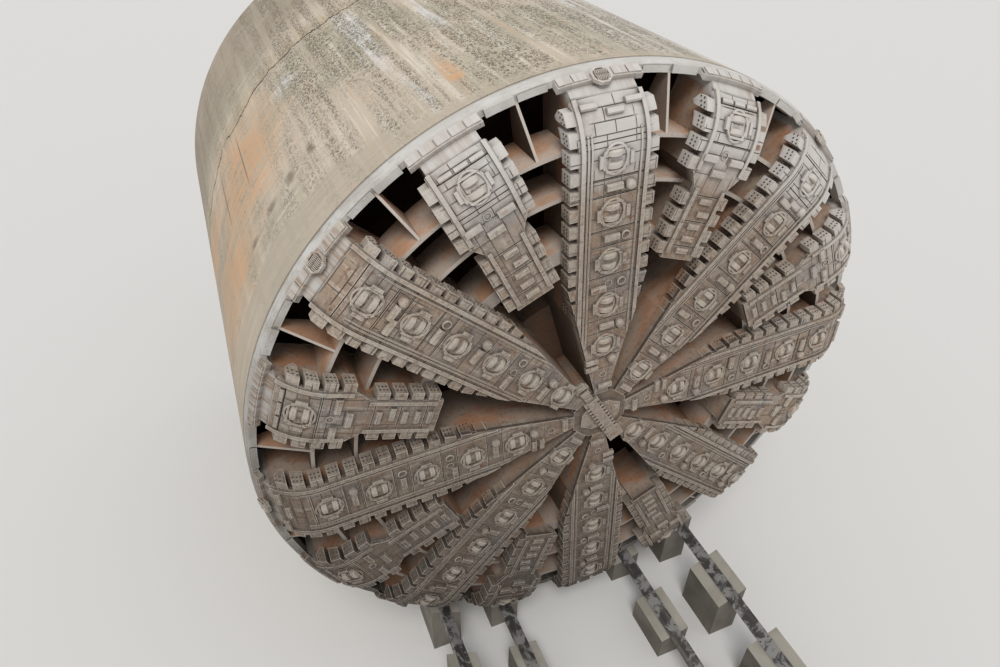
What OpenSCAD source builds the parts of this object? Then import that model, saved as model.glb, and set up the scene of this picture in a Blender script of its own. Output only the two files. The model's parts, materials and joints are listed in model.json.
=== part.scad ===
// Large tunnel boring machine with a spoked cutterhead, resting on its slide-rail cradle.
// Millimetres, +Z up. The floor is Z = 0, the machine's axis lies in X = 0 at axis_h, and the
// cutterhead faces -Y. The origin is on the floor under the middle of the whole length.

/* [Shield] */
// outside diameter of the shield skin
shield_d = 17600; // [16000:100:19000]
// thickness of the skin
skin_t = 90; // [60:5:140]
// length of the front shield skin, from its front edge to the skin joint
front_len = 8890; // [8000:10:10000]
// length of the tail shield skin
tail_len = 7300; // [6500:50:8500]
// open groove between the two skins
skin_joint = 20; // [10:5:40]
// thickness of the reinforced ring at the skin's front edge
cutting_ring_t = 150; // [120:5:180]
// length of that reinforced ring
cutting_ring_len = 1000; // [600:50:1500]
// height of the machine's axis above the floor
axis_h = 9600; // [9300:50:10500]

/* [Cutterhead] */
// distance of the flat face in front of the skin's front edge
face_front = 1250; // [1150:10:1600]
// distance that the arms reach back inside the skin
arm_back = 550; // [400:10:700]
// radius of the rounding between the flat face and the rim
edge_round = 1350; // [1250:10:1500]
// turn of the whole head, clockwise seen from the front
head_turn = -3.5; // [-22:0.5:22]
// outside radius of the rim, below that of the skin
rim_undercut = 10; // [5:5:40]
// radial thickness of the rim
rim_t = 200; // [150:10:260]
// axial gap between the rim and the skin
rim_gap = 30; // [20:5:60]
// axial length of the rim
rim_len = 300; // [240:10:400]

/* [Main arms] */
// number of main arms, with an auxiliary arm between each two
arm_count = 8; // [6:1:9]
// width of a main arm's face plates
main_w = 1620; // [1400:10:1800]
// setback of an arm's side walls from the edge of its face plates
wall_setback = 70; // [40:5:120]
// width of the slit between neighbouring arms near the centre
arm_slit = 130; // [90:10:200]
// radius where the arms meet the hub
hub_r = 760; // [650:10:900]

/* [Auxiliary arms] */
// width of the head of an auxiliary arm
aux_head_w = 1400; // [1200:10:1500]
// width of its neck
aux_neck_w = 940; // [800:10:1050]
// radius of its inner end
aux_inner_r = 4690; // [4400:10:5000]
// radius where the neck meets the shoulders
aux_neck_top = 6450; // [6200:10:6700]
// radial length of the shoulders
aux_shoulder = 330; // [200:10:450]

/* [Cutting tools] */
// spacing of the scraper teeth along an arm
tooth_pitch = 405; // [380:5:500]
// length of a tooth along the arm
tooth_len = 280; // [220:10:320]
// reach of a tooth beyond the arm's plates
tooth_reach = 200; // [150:10:240]
// depth of a tooth behind the face
tooth_depth = 350; // [250:10:450]
// height of a tooth above the face
tooth_lift = 30; // [20:5:50]
// radius of a cutter disc
disc_r = 230; // [215:5:245]
// width of one of its two rings
disc_ring_w = 140; // [100:5:150]
// spacing of its two rings
disc_ring_gap = 260; // [240:5:290]
// height of the rings above the face
disc_lift = 120; // [90:5:150]
// spacing of the cutters along a main arm
cutter_pitch = 1210; // [1150:10:1300]

/* [Support rings] */
// mean radii of the three support rings, from the inside out
ring_inner_r = 5000; // [4800:10:5200]
ring_middle_r = 6400; // [6200:10:6600]
ring_outer_r = 7400; // [7250:10:7600]
// thickness of the ring plates
ring_t = 90; // [60:5:120]
// radial thickness of the inner ring, which is a box
ring_inner_t = 340; // [250:10:400]
// distance of their front edges behind the face
ring_recess = 450; // [350:10:600]
// axial length of the ring plates
ring_len = 1150; // [900:10:1250]

/* [Drive] */
// outside radius of the torque drum that carries the head
drum_r = 2600; // [2400:10:2800]
// distance of the pressure bulkhead behind the skin's front edge
bulkhead_y = 1900; // [1800:10:2400]
// thickness of the pressure bulkhead
bulkhead_t = 100; // [80:5:150]
// outside radius of the drive housing
drive_r = 3400; // [3200:10:3600]
// length of the drive housing behind the bulkhead
drive_len = 2600; // [2200:50:3000]
// number of drive motors
motor_count = 12; // [8:1:14]
// radius of a drive motor
motor_r = 330; // [260:5:360]
// length of a drive motor
motor_len = 1250; // [1000:10:1400]
// running gap between the torque drum and its housing
turn_gap = 0.5; // [0.2:0.1:0.8]

/* [Thrust rams] */
// number of pairs of rams, in four groups
ram_pairs = 28; // [24:4:28]
// outside radius of a ram barrel
barrel_r = 210; // [190:5:220]
// radius of a ram rod
rod_r = 150; // [130:5:165]
// gap between a rod and its barrel's bore
rod_gap = 0.5; // [0.2:0.1:0.8]
// length of a barrel
barrel_len = 4500; // [4200:50:4800]
// travel of the rams
ram_stroke = 2600; // [2200:50:2800]
// spacing of the two rams of a pair
pair_gap = 620; // [560:10:700]
// distance of the front mounting plate behind the skin's front edge
thrust_y = 4250; // [4000:50:4500]
// thickness of the mounting plates
thrust_t = 120; // [90:5:160]
// depth of the tunnel lining that the shoes push on
lining_t = 600; // [500:10:650]
// clearance between the lining and the tail skin
lining_gap = 160; // [120:10:200]

/* [Erector] */
// outside radius of the fixed erector drum
erector_drum_r = 2500; // [2300:10:2700]
// distance of the erector's middle behind the skin's front edge, at rest
erector_y = 11200; // [11000:50:11600]
// travel of the erector along the beams
erector_travel = 2000; // [1600:50:2400]
// radial travel of the erector's gripper
gripper_travel = 900; // [700:10:1000]
// outside radius of the turning ring
erector_ring_r = 3150; // [3050:10:3300]
// length of the erector drum and ring
erector_len = 900; // [700:10:1000]
// running gap of the erector's ring, carriage and gripper legs
run_gap = 0.4; // [0.2:0.1:0.8]
// width and height of the two cantilever beams
beam_w = 420; // [350:10:500]
beam_h = 900; // [700:10:1000]
// distance of the beams' middles from the axis plane
beam_x = 1500; // [1350:10:1650]

/* [Man lock] */
// outside radius of the man lock
lock_r = 850; // [750:10:950]
// wall of the man lock
lock_t = 60; // [40:5:80]
// length of the man lock behind the bulkhead
lock_len = 4300; // [3800:50:5000]
// thickness of its door
lock_door_t = 60; // [40:5:90]
// gap between the door and the lock's end
lock_door_gap = 6; // [6:1:12]
// radius of the door's hinge pin
hinge_pin_r = 30; // [25:1:40]

/* [Slurry lines] */
// inside radius of the slurry pipes
pipe_r = 250; // [200:5:280]
// wall of the slurry pipes
pipe_t = 16; // [10:1:25]
// radius of the pipes' bends
pipe_bend = 800; // [600:10:1000]
// distance of the bolt circle outside a pipe's bore
flange_bolt_out = 60; // [50:5:90]
// bolt hole radius
flange_hole_r = 14; // [11:1:18]

/* [Cradle] */
// angle of the inner rails from the bottom of the skin
rail_inner_a = 15.5; // [13:0.5:18]
// angle of the outer rails
rail_outer_a = 30; // [27:0.5:33]
// width and thickness of a slide rail
rail_w = 400; // [300:10:460]
rail_t = 120; // [80:5:160]
// length of a pedestal along the rail
pedestal_len = 1600; // [1400:10:1800]
// spacing of the pedestals
pedestal_pitch = 3050; // [2800:10:3300]
// width of a pedestal
pedestal_w = 950; // [800:10:1100]
// number of pedestals under each rail
pedestal_count = 8; // [7:1:8]
// distance of the foremost pedestal's front end ahead of the skin's front edge
cradle_front = 6800; // [6000:50:7500]

/* [Hidden] */
round_fn = 256;
small_fn = 32;
// gap between two pieces of the head or drive that are seated on each other
seat_gap = 0.3;
// overlap of parts that grow into each other, and reach of cuts beyond a surface
grow = 1;

skin_r = shield_d / 2;
skin_in = skin_r - skin_t;
tail_y = front_len + skin_joint;
tail_end = tail_y + tail_len;
cradle_len = (pedestal_count - 1) * pedestal_pitch + pedestal_len;
whole_front = -cradle_front;
whole_back = max(tail_end, cradle_len - cradle_front);
y_mid = (whole_front + whole_back) / 2;

// the cutterhead is drawn in its own frame: x right, y up, z towards the ground it cuts
rim_r = skin_r - rim_undercut;
rim_in = rim_r - rim_t;
rim_front = rim_gap + rim_len;
rim_bevel = 60;
round_setback = 90;
flat_r = rim_r - round_setback - edge_round;
plate_end_a = 50;
cove_end_a = 62;
arc_steps = 6;
// revolved surfaces of an arm: how many steps of the full circle they cover
main_steps = 19;
aux_steps = 20;
back_z = -arm_back;

// tools along the arms
first_tooth = 2900;
last_tooth_a = 46;
// overlap of a tooth with the arm's face plates
tooth_in = 60;
gauge_lift = 110;
gauge_extra = 140;
gauge_root = 40;
gauge_len = 900;
// plates and cutter window on the raised band: angles of the plates from the arm's middle, and sizes
main_band = [-5.1, -2.9, 2.9, 5.1];
aux_band = [-4.4, -2.2, 0, 2.2, 4.4];
band_plate_w = 300;
band_plate_len = 210;
window_r = 230;
window_in = 180;
// angle from the cove's end to the window's middle
window_shift = 2;
window_lift = 55;
roller_w = 110;
roller_pitch = 140;
// depth that the face plates, and the tools on them, are let into the arm
plate_root = 60;
tool_root = 20;
// height above the face that plans are raised to
plan_lift = 300;
// reach of the plans beyond the rim
plan_over = 100;
plate_lift = 25;
ridge_lift = 75;
ridge_w = 90;
ridge_in = 75;
strip_lift = 45;
strip_w = 45;
// places of the strips: the distance from each edge, and one next to the second
strip_in = [200, 280, 210];
ridge_start = 2300;
strip_start = 2600;
groove_w = 26;
cutter_plate = 800;
// angle of the rounding that no cutter of a main arm passes
last_cutter_a = 30;
odd_first = 2400;
even_first = 1600;
aux_cutter = flat_r + 520;
aux_block_pitch = 310;
frame_r = 335;
frame_len = 550;
frame_lift = 70;
frame_bar_w = 80;
frame_bar_len = 260;
frame_bar_rise = 30;
disc_hub_r = 150;
pocket_len = disc_ring_gap + disc_ring_w + 60;
pocket_w = 2 * disc_r + 50;
pocket_depth = 420;
disc_axis_z = disc_lift - disc_r;
// flank of a cutter ring: its slope, and its foot on the hub
disc_slope = 30;
disc_foot = 20;
// profiles of the tools
block_len = 380;
block_w = 170;
block_h = 110;
short_block = [330, 150, 90];
thin_block = [300, 110, 70];
edge_block = [360, 140, 110];
pair_pitch = 220;
knob_r = 115;
knob_h = 200;
worn_h = 100;
plug_r = 95;
plug_in = 72;
plug_lift = 22;

// hub: the bar across the centre, the oval at its end and the plate that carries the torque drum
bar_turn = 31;
bar_w = 250;
bar_notch = 90;
bar_len = 1450;
oval_y = 1290;
hub_plate_t = 150;
bar_rise = 140;
bar_teeth = 10;
oval_r = 190;
oval_w = 350;
oval_block_w = 110;
oval_block_len = 240;
centre_plate_t = 60;
end_plate_len = 480;
end_plate_w = 440;
side_plate_w = 620;
side_plate_len = 860;
side_plate_t = 70;
side_plate_step = 60;
side_plate_bevel = 200;
drum_t = 250;
drum_deep = 400;

// thrust rams and lining
lining_out = skin_in - lining_gap;
ram_circle = lining_out - lining_t / 2;
barrel_y = thrust_y + thrust_t;
barrel_end = barrel_y + barrel_len;
// room round a barrel in the rear plate
barrel_fit = 2;
shoe_len = 260;
shoe_rest_y = barrel_end + 60;
shoe_h = lining_t - 120;
shoe_over = 150;
bore_spare = 500;
rod_spare = 400;
collar_len = 120;
collar_t = 25;
rear_plate_y = barrel_end - 700;
group_size = ram_pairs / 4;
thrust_in = ram_circle - 900;
thrust_wall = 60;
// band across the skin joint, inside the skins
joint_band = 400;
joint_band_t = 40;
// tail seals: distances of the rows from the tail end
seal_rows = [1500, 1000, 500];
seal_t = 120;
seal_in = 10;
// girders behind the thrust frame
girder_extra = 200;
girder_h = 500;

// stiffeners behind the pressure bulkhead
stiffener_deep = 500;
stiffener_t = 50;
stiffener_step = 15;
stiffener_end_gap = 20;
lock_clear = 40;

// drive
drive_back = bulkhead_y + bulkhead_t + drive_len;
motor_circle = drive_r - motor_r - 180;
motor_flange = 60;
gearbox_len = 450;
drive_floor = 500;
swivel_r = 900;
swivel_len = 600;

// erector
beam_start = rear_plate_y + thrust_t;
beam_end = erector_y + erector_travel + erector_len / 2 + 500;
gripper_w = 2500;
gripper_t = 280;
gripper_reach = sqrt(pow(lining_out - lining_t - 40, 2) - pow(gripper_w / 2, 2));
gripper_rest = gripper_reach - gripper_travel;
tube_w = 420;
tube_wall = 60;
tube_x = 900;
// foot of the gripper: its length along the machine, and how far its legs and tubes overlap at rest
gripper_len = 600;
leg_start = 250;
leg_spare = 500;
tube_start = 300;
// counterweight opposite the gripper
weight_w = 2600;
weight_len = 600;
weight_h = 900;
weight_in = 500;
// wall of the carriage drum, its guide boxes' extra width, and how far they reach into the wall
carriage_t = 120;
guide_extra = 260;
guide_in = 60;
ring_inset = 100;

// man lock: place of its axis and of its hinge
lock_x = -3600;
lock_z = 4300;
lock_end = bulkhead_y + bulkhead_t + lock_len;
door_y = lock_end + lock_door_gap;
hinge_x = lock_x + lock_r + 70;
hinge_y = door_y + lock_door_t / 2;
lug_h = 220;
lug_t = 80;
lug_gap = 5;
lug_w = 110;
door_inset = 10;
eye_t = 25;
pin_over = 60;
pin_gap = 0.1;

// slurry lines: the level where they leave the bulkhead and the level and side where they run back
pipe_low_z = -5200;
pipe_high_z = -1500;
pipe_x = 640;
pipe_rise_y = 7100;
pipe_end = tail_end - 300;
flange_bolt_r = pipe_r + flange_bolt_out;
flange_t = 40;
flange_rim = 45;
flange_bolts = 12;

// cradle
rail_z = -skin_r;
pedestal_drop = 45;

arm_nums = [for (k = [1 : arm_count]) k];

// places a piece given in the machine's frame: Y from the skin's front edge, Z from the axis
module machine() translate([0, -y_mid, axis_h]) children();

// places a piece given in the cutterhead's frame
module head() machine() rotate([90, 0, 0]) children();

// turns a piece that points up to the angle of one arm, clockwise from the front
module spoke(k, half = 0) rotate([0, 0, -head_turn - (k - 1 + half) * 360 / arm_count]) children();

// a tube along Y between two distances
module tube_y(y0, y1, r_out, r_in) translate([0, y0, 0]) rotate([-90, 0, 0]) difference() {
    cylinder(h = y1 - y0, r = r_out, $fn = round_fn);
    translate([0, 0, -grow]) cylinder(h = y1 - y0 + 2 * grow, r = r_in, $fn = round_fn);
}

module disc_y(y0, y1, r) translate([0, y0, 0]) rotate([-90, 0, 0])
    cylinder(h = y1 - y0, r = r, $fn = round_fn);

// a box centred in x and z, from y0 to y1
module box_y(y0, y1, w, h) translate([-w / 2, y0, -h / 2]) cube([w, y1 - y0, h]);

// the head's rounded outline, raised by lift, between two angles of the rounding
function edge_arc(lift, a0, a1) = [for (i = [0 : arc_steps]) let (a = a0 + (a1 - a0) * i / arc_steps)
    [flat_r + (edge_round + lift) * sin(a), face_front - edge_round + (edge_round + lift) * cos(a)]];
function reversed(list) = [for (i = [len(list) - 1 : -1 : 0]) list[i]];
// angle at which the raised outline comes down to its seat on the rim's front face
function rim_angle(lift) = acos((rim_front + seat_gap - face_front + edge_round) / (edge_round + lift));
// radius in plan of a point at a distance along the face from the centre
function edge_a(s) = max(0, (s - flat_r) / edge_round * 180 / PI);
function plan_r(s) = s < flat_r ? s : flat_r + edge_round * sin(edge_a(s));
function arc_s(a) = flat_r + edge_round * a * PI / 180;

// a revolved profile, only as wide as one arm that points up
module arm_sector(steps) {
    wide = steps * 360 / round_fn - 0.001;
    rotate([0, 0, 90 - wide / 2]) rotate_extrude(angle = wide, $fn = round_fn) children();
}

// solid under the face, back to the arms' rear
module under_face(steps, to_z = back_z) arm_sector(steps) polygon(concat([[0, to_z], [0, face_front]],
    edge_arc(0, 0, rim_angle(0)), [[rim_in - seat_gap, rim_front + seat_gap], [rim_in - seat_gap, to_z]]));

// layer of the face between two heights, out to one angle of the rounding
module face_layer(steps, top, bottom, a_to = plate_end_a) arm_sector(steps) polygon(concat(
    [[0, face_front + top]], edge_arc(top, 0, a_to), reversed(edge_arc(bottom, 0, a_to)),
    [[0, face_front + bottom]]));

// raised band at the rim end of an arm
module gauge_layer(steps) arm_sector(steps) polygon(concat(
    edge_arc(gauge_lift, cove_end_a, rim_angle(gauge_lift)),
    reversed(edge_arc(-gauge_root, cove_end_a, rim_angle(-gauge_root)))));

// lifts a 2D plan through the whole head
module through(to_z = back_z) translate([0, 0, to_z])
    linear_extrude(face_front - to_z + plan_lift) children();

// places a tool on the face at a distance along an arm, its z pointing out of the face
module on_face(s, x = 0) translate([x, plan_r(s), face_front - edge_round * (1 - cos(edge_a(s)))])
    rotate([-edge_a(s), 0, 0]) children();

// plan of a main arm, inset from its plates' edge
module main_plan(inset = 0) {
    w = main_w / 2 - inset;
    half = 180 / arm_count;
    meet = (main_w / 2 + arm_slit / 2 / cos(half)) / tan(half);
    inner = hub_r + seat_gap;
    base = inner * tan(half) - arm_slit / 2 / cos(half) - inset;
    polygon([[-base, inner], [-w, meet], [-w, rim_r], [w, rim_r], [w, meet], [base, inner]]);
}

// plan of an auxiliary arm
module aux_plan(inset = 0) {
    n = aux_neck_w / 2 - inset;
    w = aux_head_w / 2 - inset;
    polygon([[-n, aux_inner_r], [-n, aux_neck_top], [-w, aux_neck_top + aux_shoulder], [-w, rim_r],
        [w, rim_r], [w, aux_neck_top + aux_shoulder], [n, aux_neck_top], [n, aux_inner_r]]);
}

// a row of teeth on both sides of an arm, as a plan
module tooth_plan(edge, s_from, s_to) for (side = [-1, 1], s = [s_from : tooth_pitch : s_to]) {
    r0 = plan_r(s - tooth_len / 2);
    r1 = plan_r(s + tooth_len / 2);
    translate([side * (edge + (tooth_reach - tooth_in) / 2), (r0 + r1) / 2])
        square([tooth_reach + tooth_in, r1 - r0], center = true);
}

// band at the rim end of an arm, as a plan
module gauge_plan(arm_w) translate([0, rim_r - gauge_len / 2])
    square([arm_w + 2 * gauge_extra, gauge_len + 2 * plan_over], center = true);

// raised ridge along each edge, as a plan
module ridge_plan(edge, r0, r1) for (side = [-1, 1]) translate([side * (edge - ridge_in), (r0 + r1) / 2])
    square([ridge_w, r1 - r0], center = true);

// lower strips inside the ridges, as a plan
module strip_plan(r0, r1, places) for (x = places) translate([x, (r0 + r1) / 2])
    square([strip_w, r1 - r0], center = true);

// grooves between the wear plates, as a plan
module groove_plan(edge, cuts) for (s = cuts)
    translate([0, plan_r(s)]) square([2 * edge + 100, groove_w], center = true);

// pocket that a disc cutter sits in
module cutter_pocket(s) on_face(s) translate([0, 0, -pocket_depth / 2 + 50])
    cube([pocket_w, pocket_len, pocket_depth + 100], center = true);

// raised oval frame round a disc cutter, with a bar at each side
module cutter_frame(s) on_face(s) {
    linear_extrude(frame_lift) difference() {
        intersection() {
            circle(frame_r, $fn = small_fn);
            square([2 * frame_r - frame_bar_rise, frame_len], center = true);
        }
        square([pocket_w, pocket_len], center = true);
    }
    for (side = [-1, 1]) translate([side * (frame_r + frame_bar_rise / 2), 0, frame_lift / 2])
        cube([frame_bar_w, frame_bar_len, frame_lift + 2 * frame_bar_rise], center = true);
}

// twin-ring disc cutter, its axle along the arm
module disc_cutter(s) on_face(s) translate([0, 0, disc_axis_z]) rotate([90, 0, 0])
    rotate_extrude($fn = small_fn * 2) polygon(concat(
        [[0, -pocket_len / 2], [disc_hub_r, -pocket_len / 2]],
        ring_profile(-disc_ring_gap / 2), ring_profile(disc_ring_gap / 2),
        [[disc_hub_r, pocket_len / 2], [0, pocket_len / 2]]));

// outline of one cutter ring, with its middle at a place along the axle
function ring_profile(at) = let (w = disc_ring_w / 2) [
    [disc_hub_r, at - w - disc_foot], [disc_r - disc_slope, at - w], [disc_r, at - w * 2 / 3],
    [disc_r, at + w * 2 / 3], [disc_r - disc_slope, at + w], [disc_hub_r, at + w + disc_foot]];

// wear block with bevelled long sides
module wear_block(s, x, len = block_len, wide = block_w, high = block_h) on_face(s, x) rotate([90, 0, 90])
    translate([0, 0, -len / 2]) linear_extrude(len)
        polygon([[-wide / 2, -tool_root], [-wide / 2, high * 0.55], [-wide / 3, high], [wide / 3, high],
            [wide / 2, high * 0.55], [wide / 2, -tool_root]]);

// a smaller wear block of a listed size
module small_block(s, x, size) wear_block(s, x, size[0], size[1], size[2]);

// tall round knob with a domed top
module knob(s, x) on_face(s, x) rotate_extrude($fn = small_fn)
    polygon([[0, -tool_root], [knob_r, -tool_root], [knob_r * 0.95, knob_h * 0.65],
        [knob_r * 0.75, knob_h * 0.88], [knob_r * 0.4, knob_h * 0.98], [0, knob_h]]);

// knob worn down to a hollow stub
module worn_knob(s, x) on_face(s, x) rotate_extrude($fn = small_fn)
    polygon([[0, -tool_root], [knob_r, -tool_root], [knob_r * 0.95, worn_h * 0.9], [knob_r * 0.75, worn_h],
        [knob_r * 0.6, worn_h / 2], [0, worn_h * 0.45]]);

// plain round plug set in the face
module plug(s, x) on_face(s, x) difference() {
    cylinder(h = plate_lift + plug_lift, r = plug_r, $fn = small_fn);
    translate([0, 0, plate_lift]) cylinder(h = 2 * plug_lift, r = plug_in, $fn = small_fn);
}

// two blocks, one outside the other
module block_pair(s, x) for (side = [-1, 1]) small_block(s + side * pair_pitch / 2, x, short_block);

module tool(kind, s, x) {
    if (kind == "block") wear_block(s, x);
    if (kind == "pair") block_pair(s, x);
    if (kind == "knob") knob(s, x);
    if (kind == "worn") worn_knob(s, x);
    if (kind == "plug") plug(s, x);
}

// plates and cutter window on the raised band at the rim end of an arm, placed by their angle round the axis
module on_band(a) rotate([0, 0, -a]) on_face(arc_s((cove_end_a + rim_angle(gauge_lift)) / 2)) children();
module band_plates(angles) for (a = angles) on_band(a) translate([0, 0, gauge_lift])
    cube([band_plate_w, band_plate_len, 2 * plate_lift], center = true);
module band_window() on_face(arc_s(cove_end_a + window_shift)) translate([0, 0, gauge_lift - plate_lift]) {
    linear_extrude(window_lift + plate_lift) rotate([0, 0, 22.5]) difference() {
        circle(window_r, $fn = 8);
        circle(window_in, $fn = 8);
    }
    for (side = [-1, 1]) translate([0, side * roller_pitch / 2, plate_lift])
        cube([band_plate_w, roller_w, roller_w], center = true);
}

// distances of the cutters along a main arm; every second arm has them further in, and one more
function first_cutter(k) = k % 2 == 1 ? odd_first : even_first;
function main_cutters(k) = [for (s = [first_cutter(k) : cutter_pitch : arc_s(last_cutter_a)]) s];

// tools between the cutters: distance outside the first cutter, in cutter pitches, place across, and kind
pitches = 0;
across = 1;
kind = 2;
odd_tools = [[-1.12, 60, "block"], [-0.8, 0, "plug"], [-0.48, -330, "pair"], [-0.37, 190, "knob"],
    [0.5, 0, "block"], [0.5, 340, "knob"], [1.5, 0, "plug"], [1.42, -270, "block"], [1.5, 320, "worn"],
    [2.5, 0, "block"], [2.5, 340, "worn"], [3.5, 0, "block"], [3.5, 350, "knob"]];
even_tools = [[-0.5, 0, "block"], [0.5, 220, "knob"], [0.5, -150, "block"], [1.5, 0, "plug"],
    [1.5, 330, "worn"], [1.5, -290, "block"], [2.5, -20, "block"], [2.5, 340, "knob"], [3.5, 0, "block"],
    [3.5, 340, "worn"], [4.4, -260, "block"], [4.5, 60, "block"], [4.5, 370, "knob"]];

// the two arms under the ends of the centre bar have no tools this far in, in cutter pitches
bar_clear = -0.5;

// blocks on the rounding of every second main arm, by their place across it
round_blocks = [-500, 50, 500];

module main_arm(k) head() spoke(k) {
    cutters = main_cutters(k);
    edge = main_w / 2;
    difference() {
        union() {
            intersection() { through() main_plan(wall_setback); under_face(main_steps); }
            intersection() {
                through() difference() {
                    main_plan();
                    groove_plan(edge, [for (s = cutters, e = [-cutter_plate / 2, cutter_plate / 2]) s + e]);
                }
                face_layer(main_steps, plate_lift, -plate_root);
            }
            intersection() {
                through() ridge_plan(edge, ridge_start, rim_r);
                face_layer(main_steps, ridge_lift, -tool_root);
            }
            intersection() {
                through() strip_plan(strip_start, flat_r + edge_round / 3,
                    [strip_in[0] - edge, strip_in[1] - edge, edge - strip_in[2]]);
                face_layer(main_steps, strip_lift, -tool_root);
            }
            intersection() {
                through() tooth_plan(edge, first_tooth, arc_s(last_tooth_a));
                face_layer(main_steps, tooth_lift, -tooth_depth);
            }
            intersection() {
                through() gauge_plan(main_w);
                gauge_layer(main_steps);
            }
            for (s = cutters) cutter_frame(s);
            for (t = k % 2 == 1 ? odd_tools : even_tools) if (k % 4 > 0 || t[pitches] > bar_clear)
                tool(t[kind], first_cutter(k) + t[pitches] * cutter_pitch, t[across]);
            if (k % 2 == 1) for (x = round_blocks) small_block(arc_s(34) + abs(x) / 3, x, edge_block);
            band_plates(main_band);
            band_window();
        }
        for (s = cutters) cutter_pocket(s);
    }
}

// tools of an auxiliary arm: blocks up the neck, each third outwards set to one side, and places across the
// shoulders and across the rounding
neck_blocks = [0, 0, 0, 100, 0];
shoulder_blocks = [[40, -40], [340, -440], [340, 330]];
aux_round_blocks = [-360, 0, 360];
neck_groove = 620;

module aux_arm(k) head() spoke(k, 0.5) difference() {
    shoulder_top = aux_neck_top + aux_shoulder;
    neck_edge = aux_neck_w / 2;
    head_edge = aux_head_w / 2;
    union() {
        intersection() { through() aux_plan(wall_setback); under_face(aux_steps); }
        intersection() {
            through() difference() {
                aux_plan();
                groove_plan(neck_edge, [for (s = [aux_inner_r + 350 : neck_groove : aux_neck_top]) s]);
                groove_plan(head_edge, [aux_cutter - cutter_plate / 2, aux_cutter + cutter_plate / 2]);
            }
            face_layer(aux_steps, plate_lift, -plate_root);
        }
        intersection() {
            through() {
                ridge_plan(neck_edge, aux_inner_r + 150, aux_neck_top);
                ridge_plan(head_edge, shoulder_top + 60, rim_r);
            }
            face_layer(aux_steps, ridge_lift, -tool_root);
        }
        intersection() {
            through() {
                tooth_plan(neck_edge, aux_inner_r + 250, aux_neck_top - 100);
                tooth_plan(head_edge, shoulder_top + 170, arc_s(last_tooth_a));
            }
            face_layer(aux_steps, tooth_lift, -tooth_depth);
        }
        intersection() {
            through() gauge_plan(aux_head_w);
            gauge_layer(aux_steps);
        }
        cutter_frame(aux_cutter);
        for (i = [0 : len(neck_blocks) - 1])
            small_block(aux_inner_r + 230 + i * aux_block_pitch, neck_blocks[i], short_block);
        for (b = shoulder_blocks) wear_block(shoulder_top + b[0], b[1]);
        plug(shoulder_top + 450, -50);
        for (x = aux_round_blocks) small_block(arc_s(41), x, thin_block);
        band_plates(aux_band);
    }
    cutter_pocket(aux_cutter);
}

// hub: the centre of the face with its notched bar, the plate behind the arms and the torque drum
module head_hub() color([0.55, 0.5, 0.45]) head() {
    plate_z = back_z - seat_gap - hub_plate_t;
    drum_len = bulkhead_y + bulkhead_t + drum_deep + plate_z;
    rotate([0, 0, -head_turn + 180 / arm_count])
        cylinder(h = face_front, r = hub_r / cos(180 / arm_count), $fn = arm_count);
    translate([0, 0, plate_z]) cylinder(h = -plate_z, r = hub_r, $fn = round_fn);
    rotate([0, 0, bar_turn]) translate([0, 0, face_front]) centre_bar();
    translate([0, 0, plate_z]) cylinder(h = hub_plate_t, r = drum_r, $fn = round_fn);
    translate([0, 0, plate_z - drum_len]) difference() {
        cylinder(h = drum_len, r = drum_r, $fn = round_fn);
        translate([0, 0, -grow]) cylinder(h = drum_len, r = drum_r - drum_t, $fn = round_fn);
    }
}

// bar across the centre with notched sides, an oval at one end, a plate at the other and one at each side
module centre_bar() {
    edge = bar_w / 2 + bar_notch;
    difference() {
        translate([-edge, -bar_len / 2, -plate_root]) cube([2 * edge, bar_len, plate_root + bar_rise]);
        for (side = [-1, 1], i = [-bar_teeth / 2 + 1 : bar_teeth / 2 - 1])
            translate([side * (bar_w + bar_notch) / 2, i * bar_len / bar_teeth, bar_rise - 40])
                cube([bar_notch, bar_len / bar_teeth / 2, 120], center = true);
    }
    translate([-end_plate_w / 4, bar_len / 2 - grow, plate_lift + seat_gap])
        cube([end_plate_w / 2, oval_y - (oval_w + bar_len) / 2 + 2 * grow, centre_plate_t]);
    translate([0, oval_y, plate_lift + seat_gap]) {
        linear_extrude(centre_plate_t) intersection() {
            circle(oval_r, $fn = small_fn);
            square([2 * oval_r, oval_w], center = true);
        }
        for (side = [-1, 1]) translate([0, side * pair_pitch / 2, bar_rise / 2])
            cube([oval_block_len, oval_block_w, bar_rise], center = true);
    }
    translate([-end_plate_w / 2, -bar_len / 2 - end_plate_len, plate_lift + seat_gap])
        cube([end_plate_w, end_plate_len + grow, centre_plate_t]);
    for (side = [-1, 1]) translate([0, -side * side_plate_step, -plate_root])
        linear_extrude(plate_root + side_plate_t) polygon([
            [side * (edge - grow), -side_plate_len / 2],
            [side * (edge + side_plate_bevel), -side_plate_len * 0.38],
            [side * side_plate_w, 0],
            [side * (edge + side_plate_bevel), side_plate_len * 0.38],
            [side * (edge - grow), side_plate_len / 2]]);
    translate([side_plate_w - 2 * plug_r, -side_plate_step, 0])
        cylinder(h = side_plate_t + plate_lift, r = plug_r, $fn = small_fn);
}

// stepped wear pads on the rim, in the openings between the arms
pad_in = 30;
pad_back = 40;
pad_inner_r = rim_in - pad_in;
pad_sizes = [[140, 290], [175, 320]];
pad_space = 0.5;
pad_from = asin((main_w / 2 + gauge_extra) / pad_inner_r) + pad_space;
pad_to = 180 / arm_count - asin((aux_head_w / 2 + gauge_extra) / pad_inner_r) - pad_space;
pad_pitch = (pad_to - pad_from) / 2;
module wear_pads() for (k = arm_nums, side = [-1, 1], i = [0, 1]) spoke(k)
    rotate([0, 0, 90 + side * (pad_from + (i + 0.5) * pad_pitch) - (pad_pitch - pad_space) / 2])
        rotate_extrude(angle = pad_pitch - pad_space, $fn = round_fn)
            translate([pad_inner_r, rim_gap + pad_back]) square(pad_sizes[i]);

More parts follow.
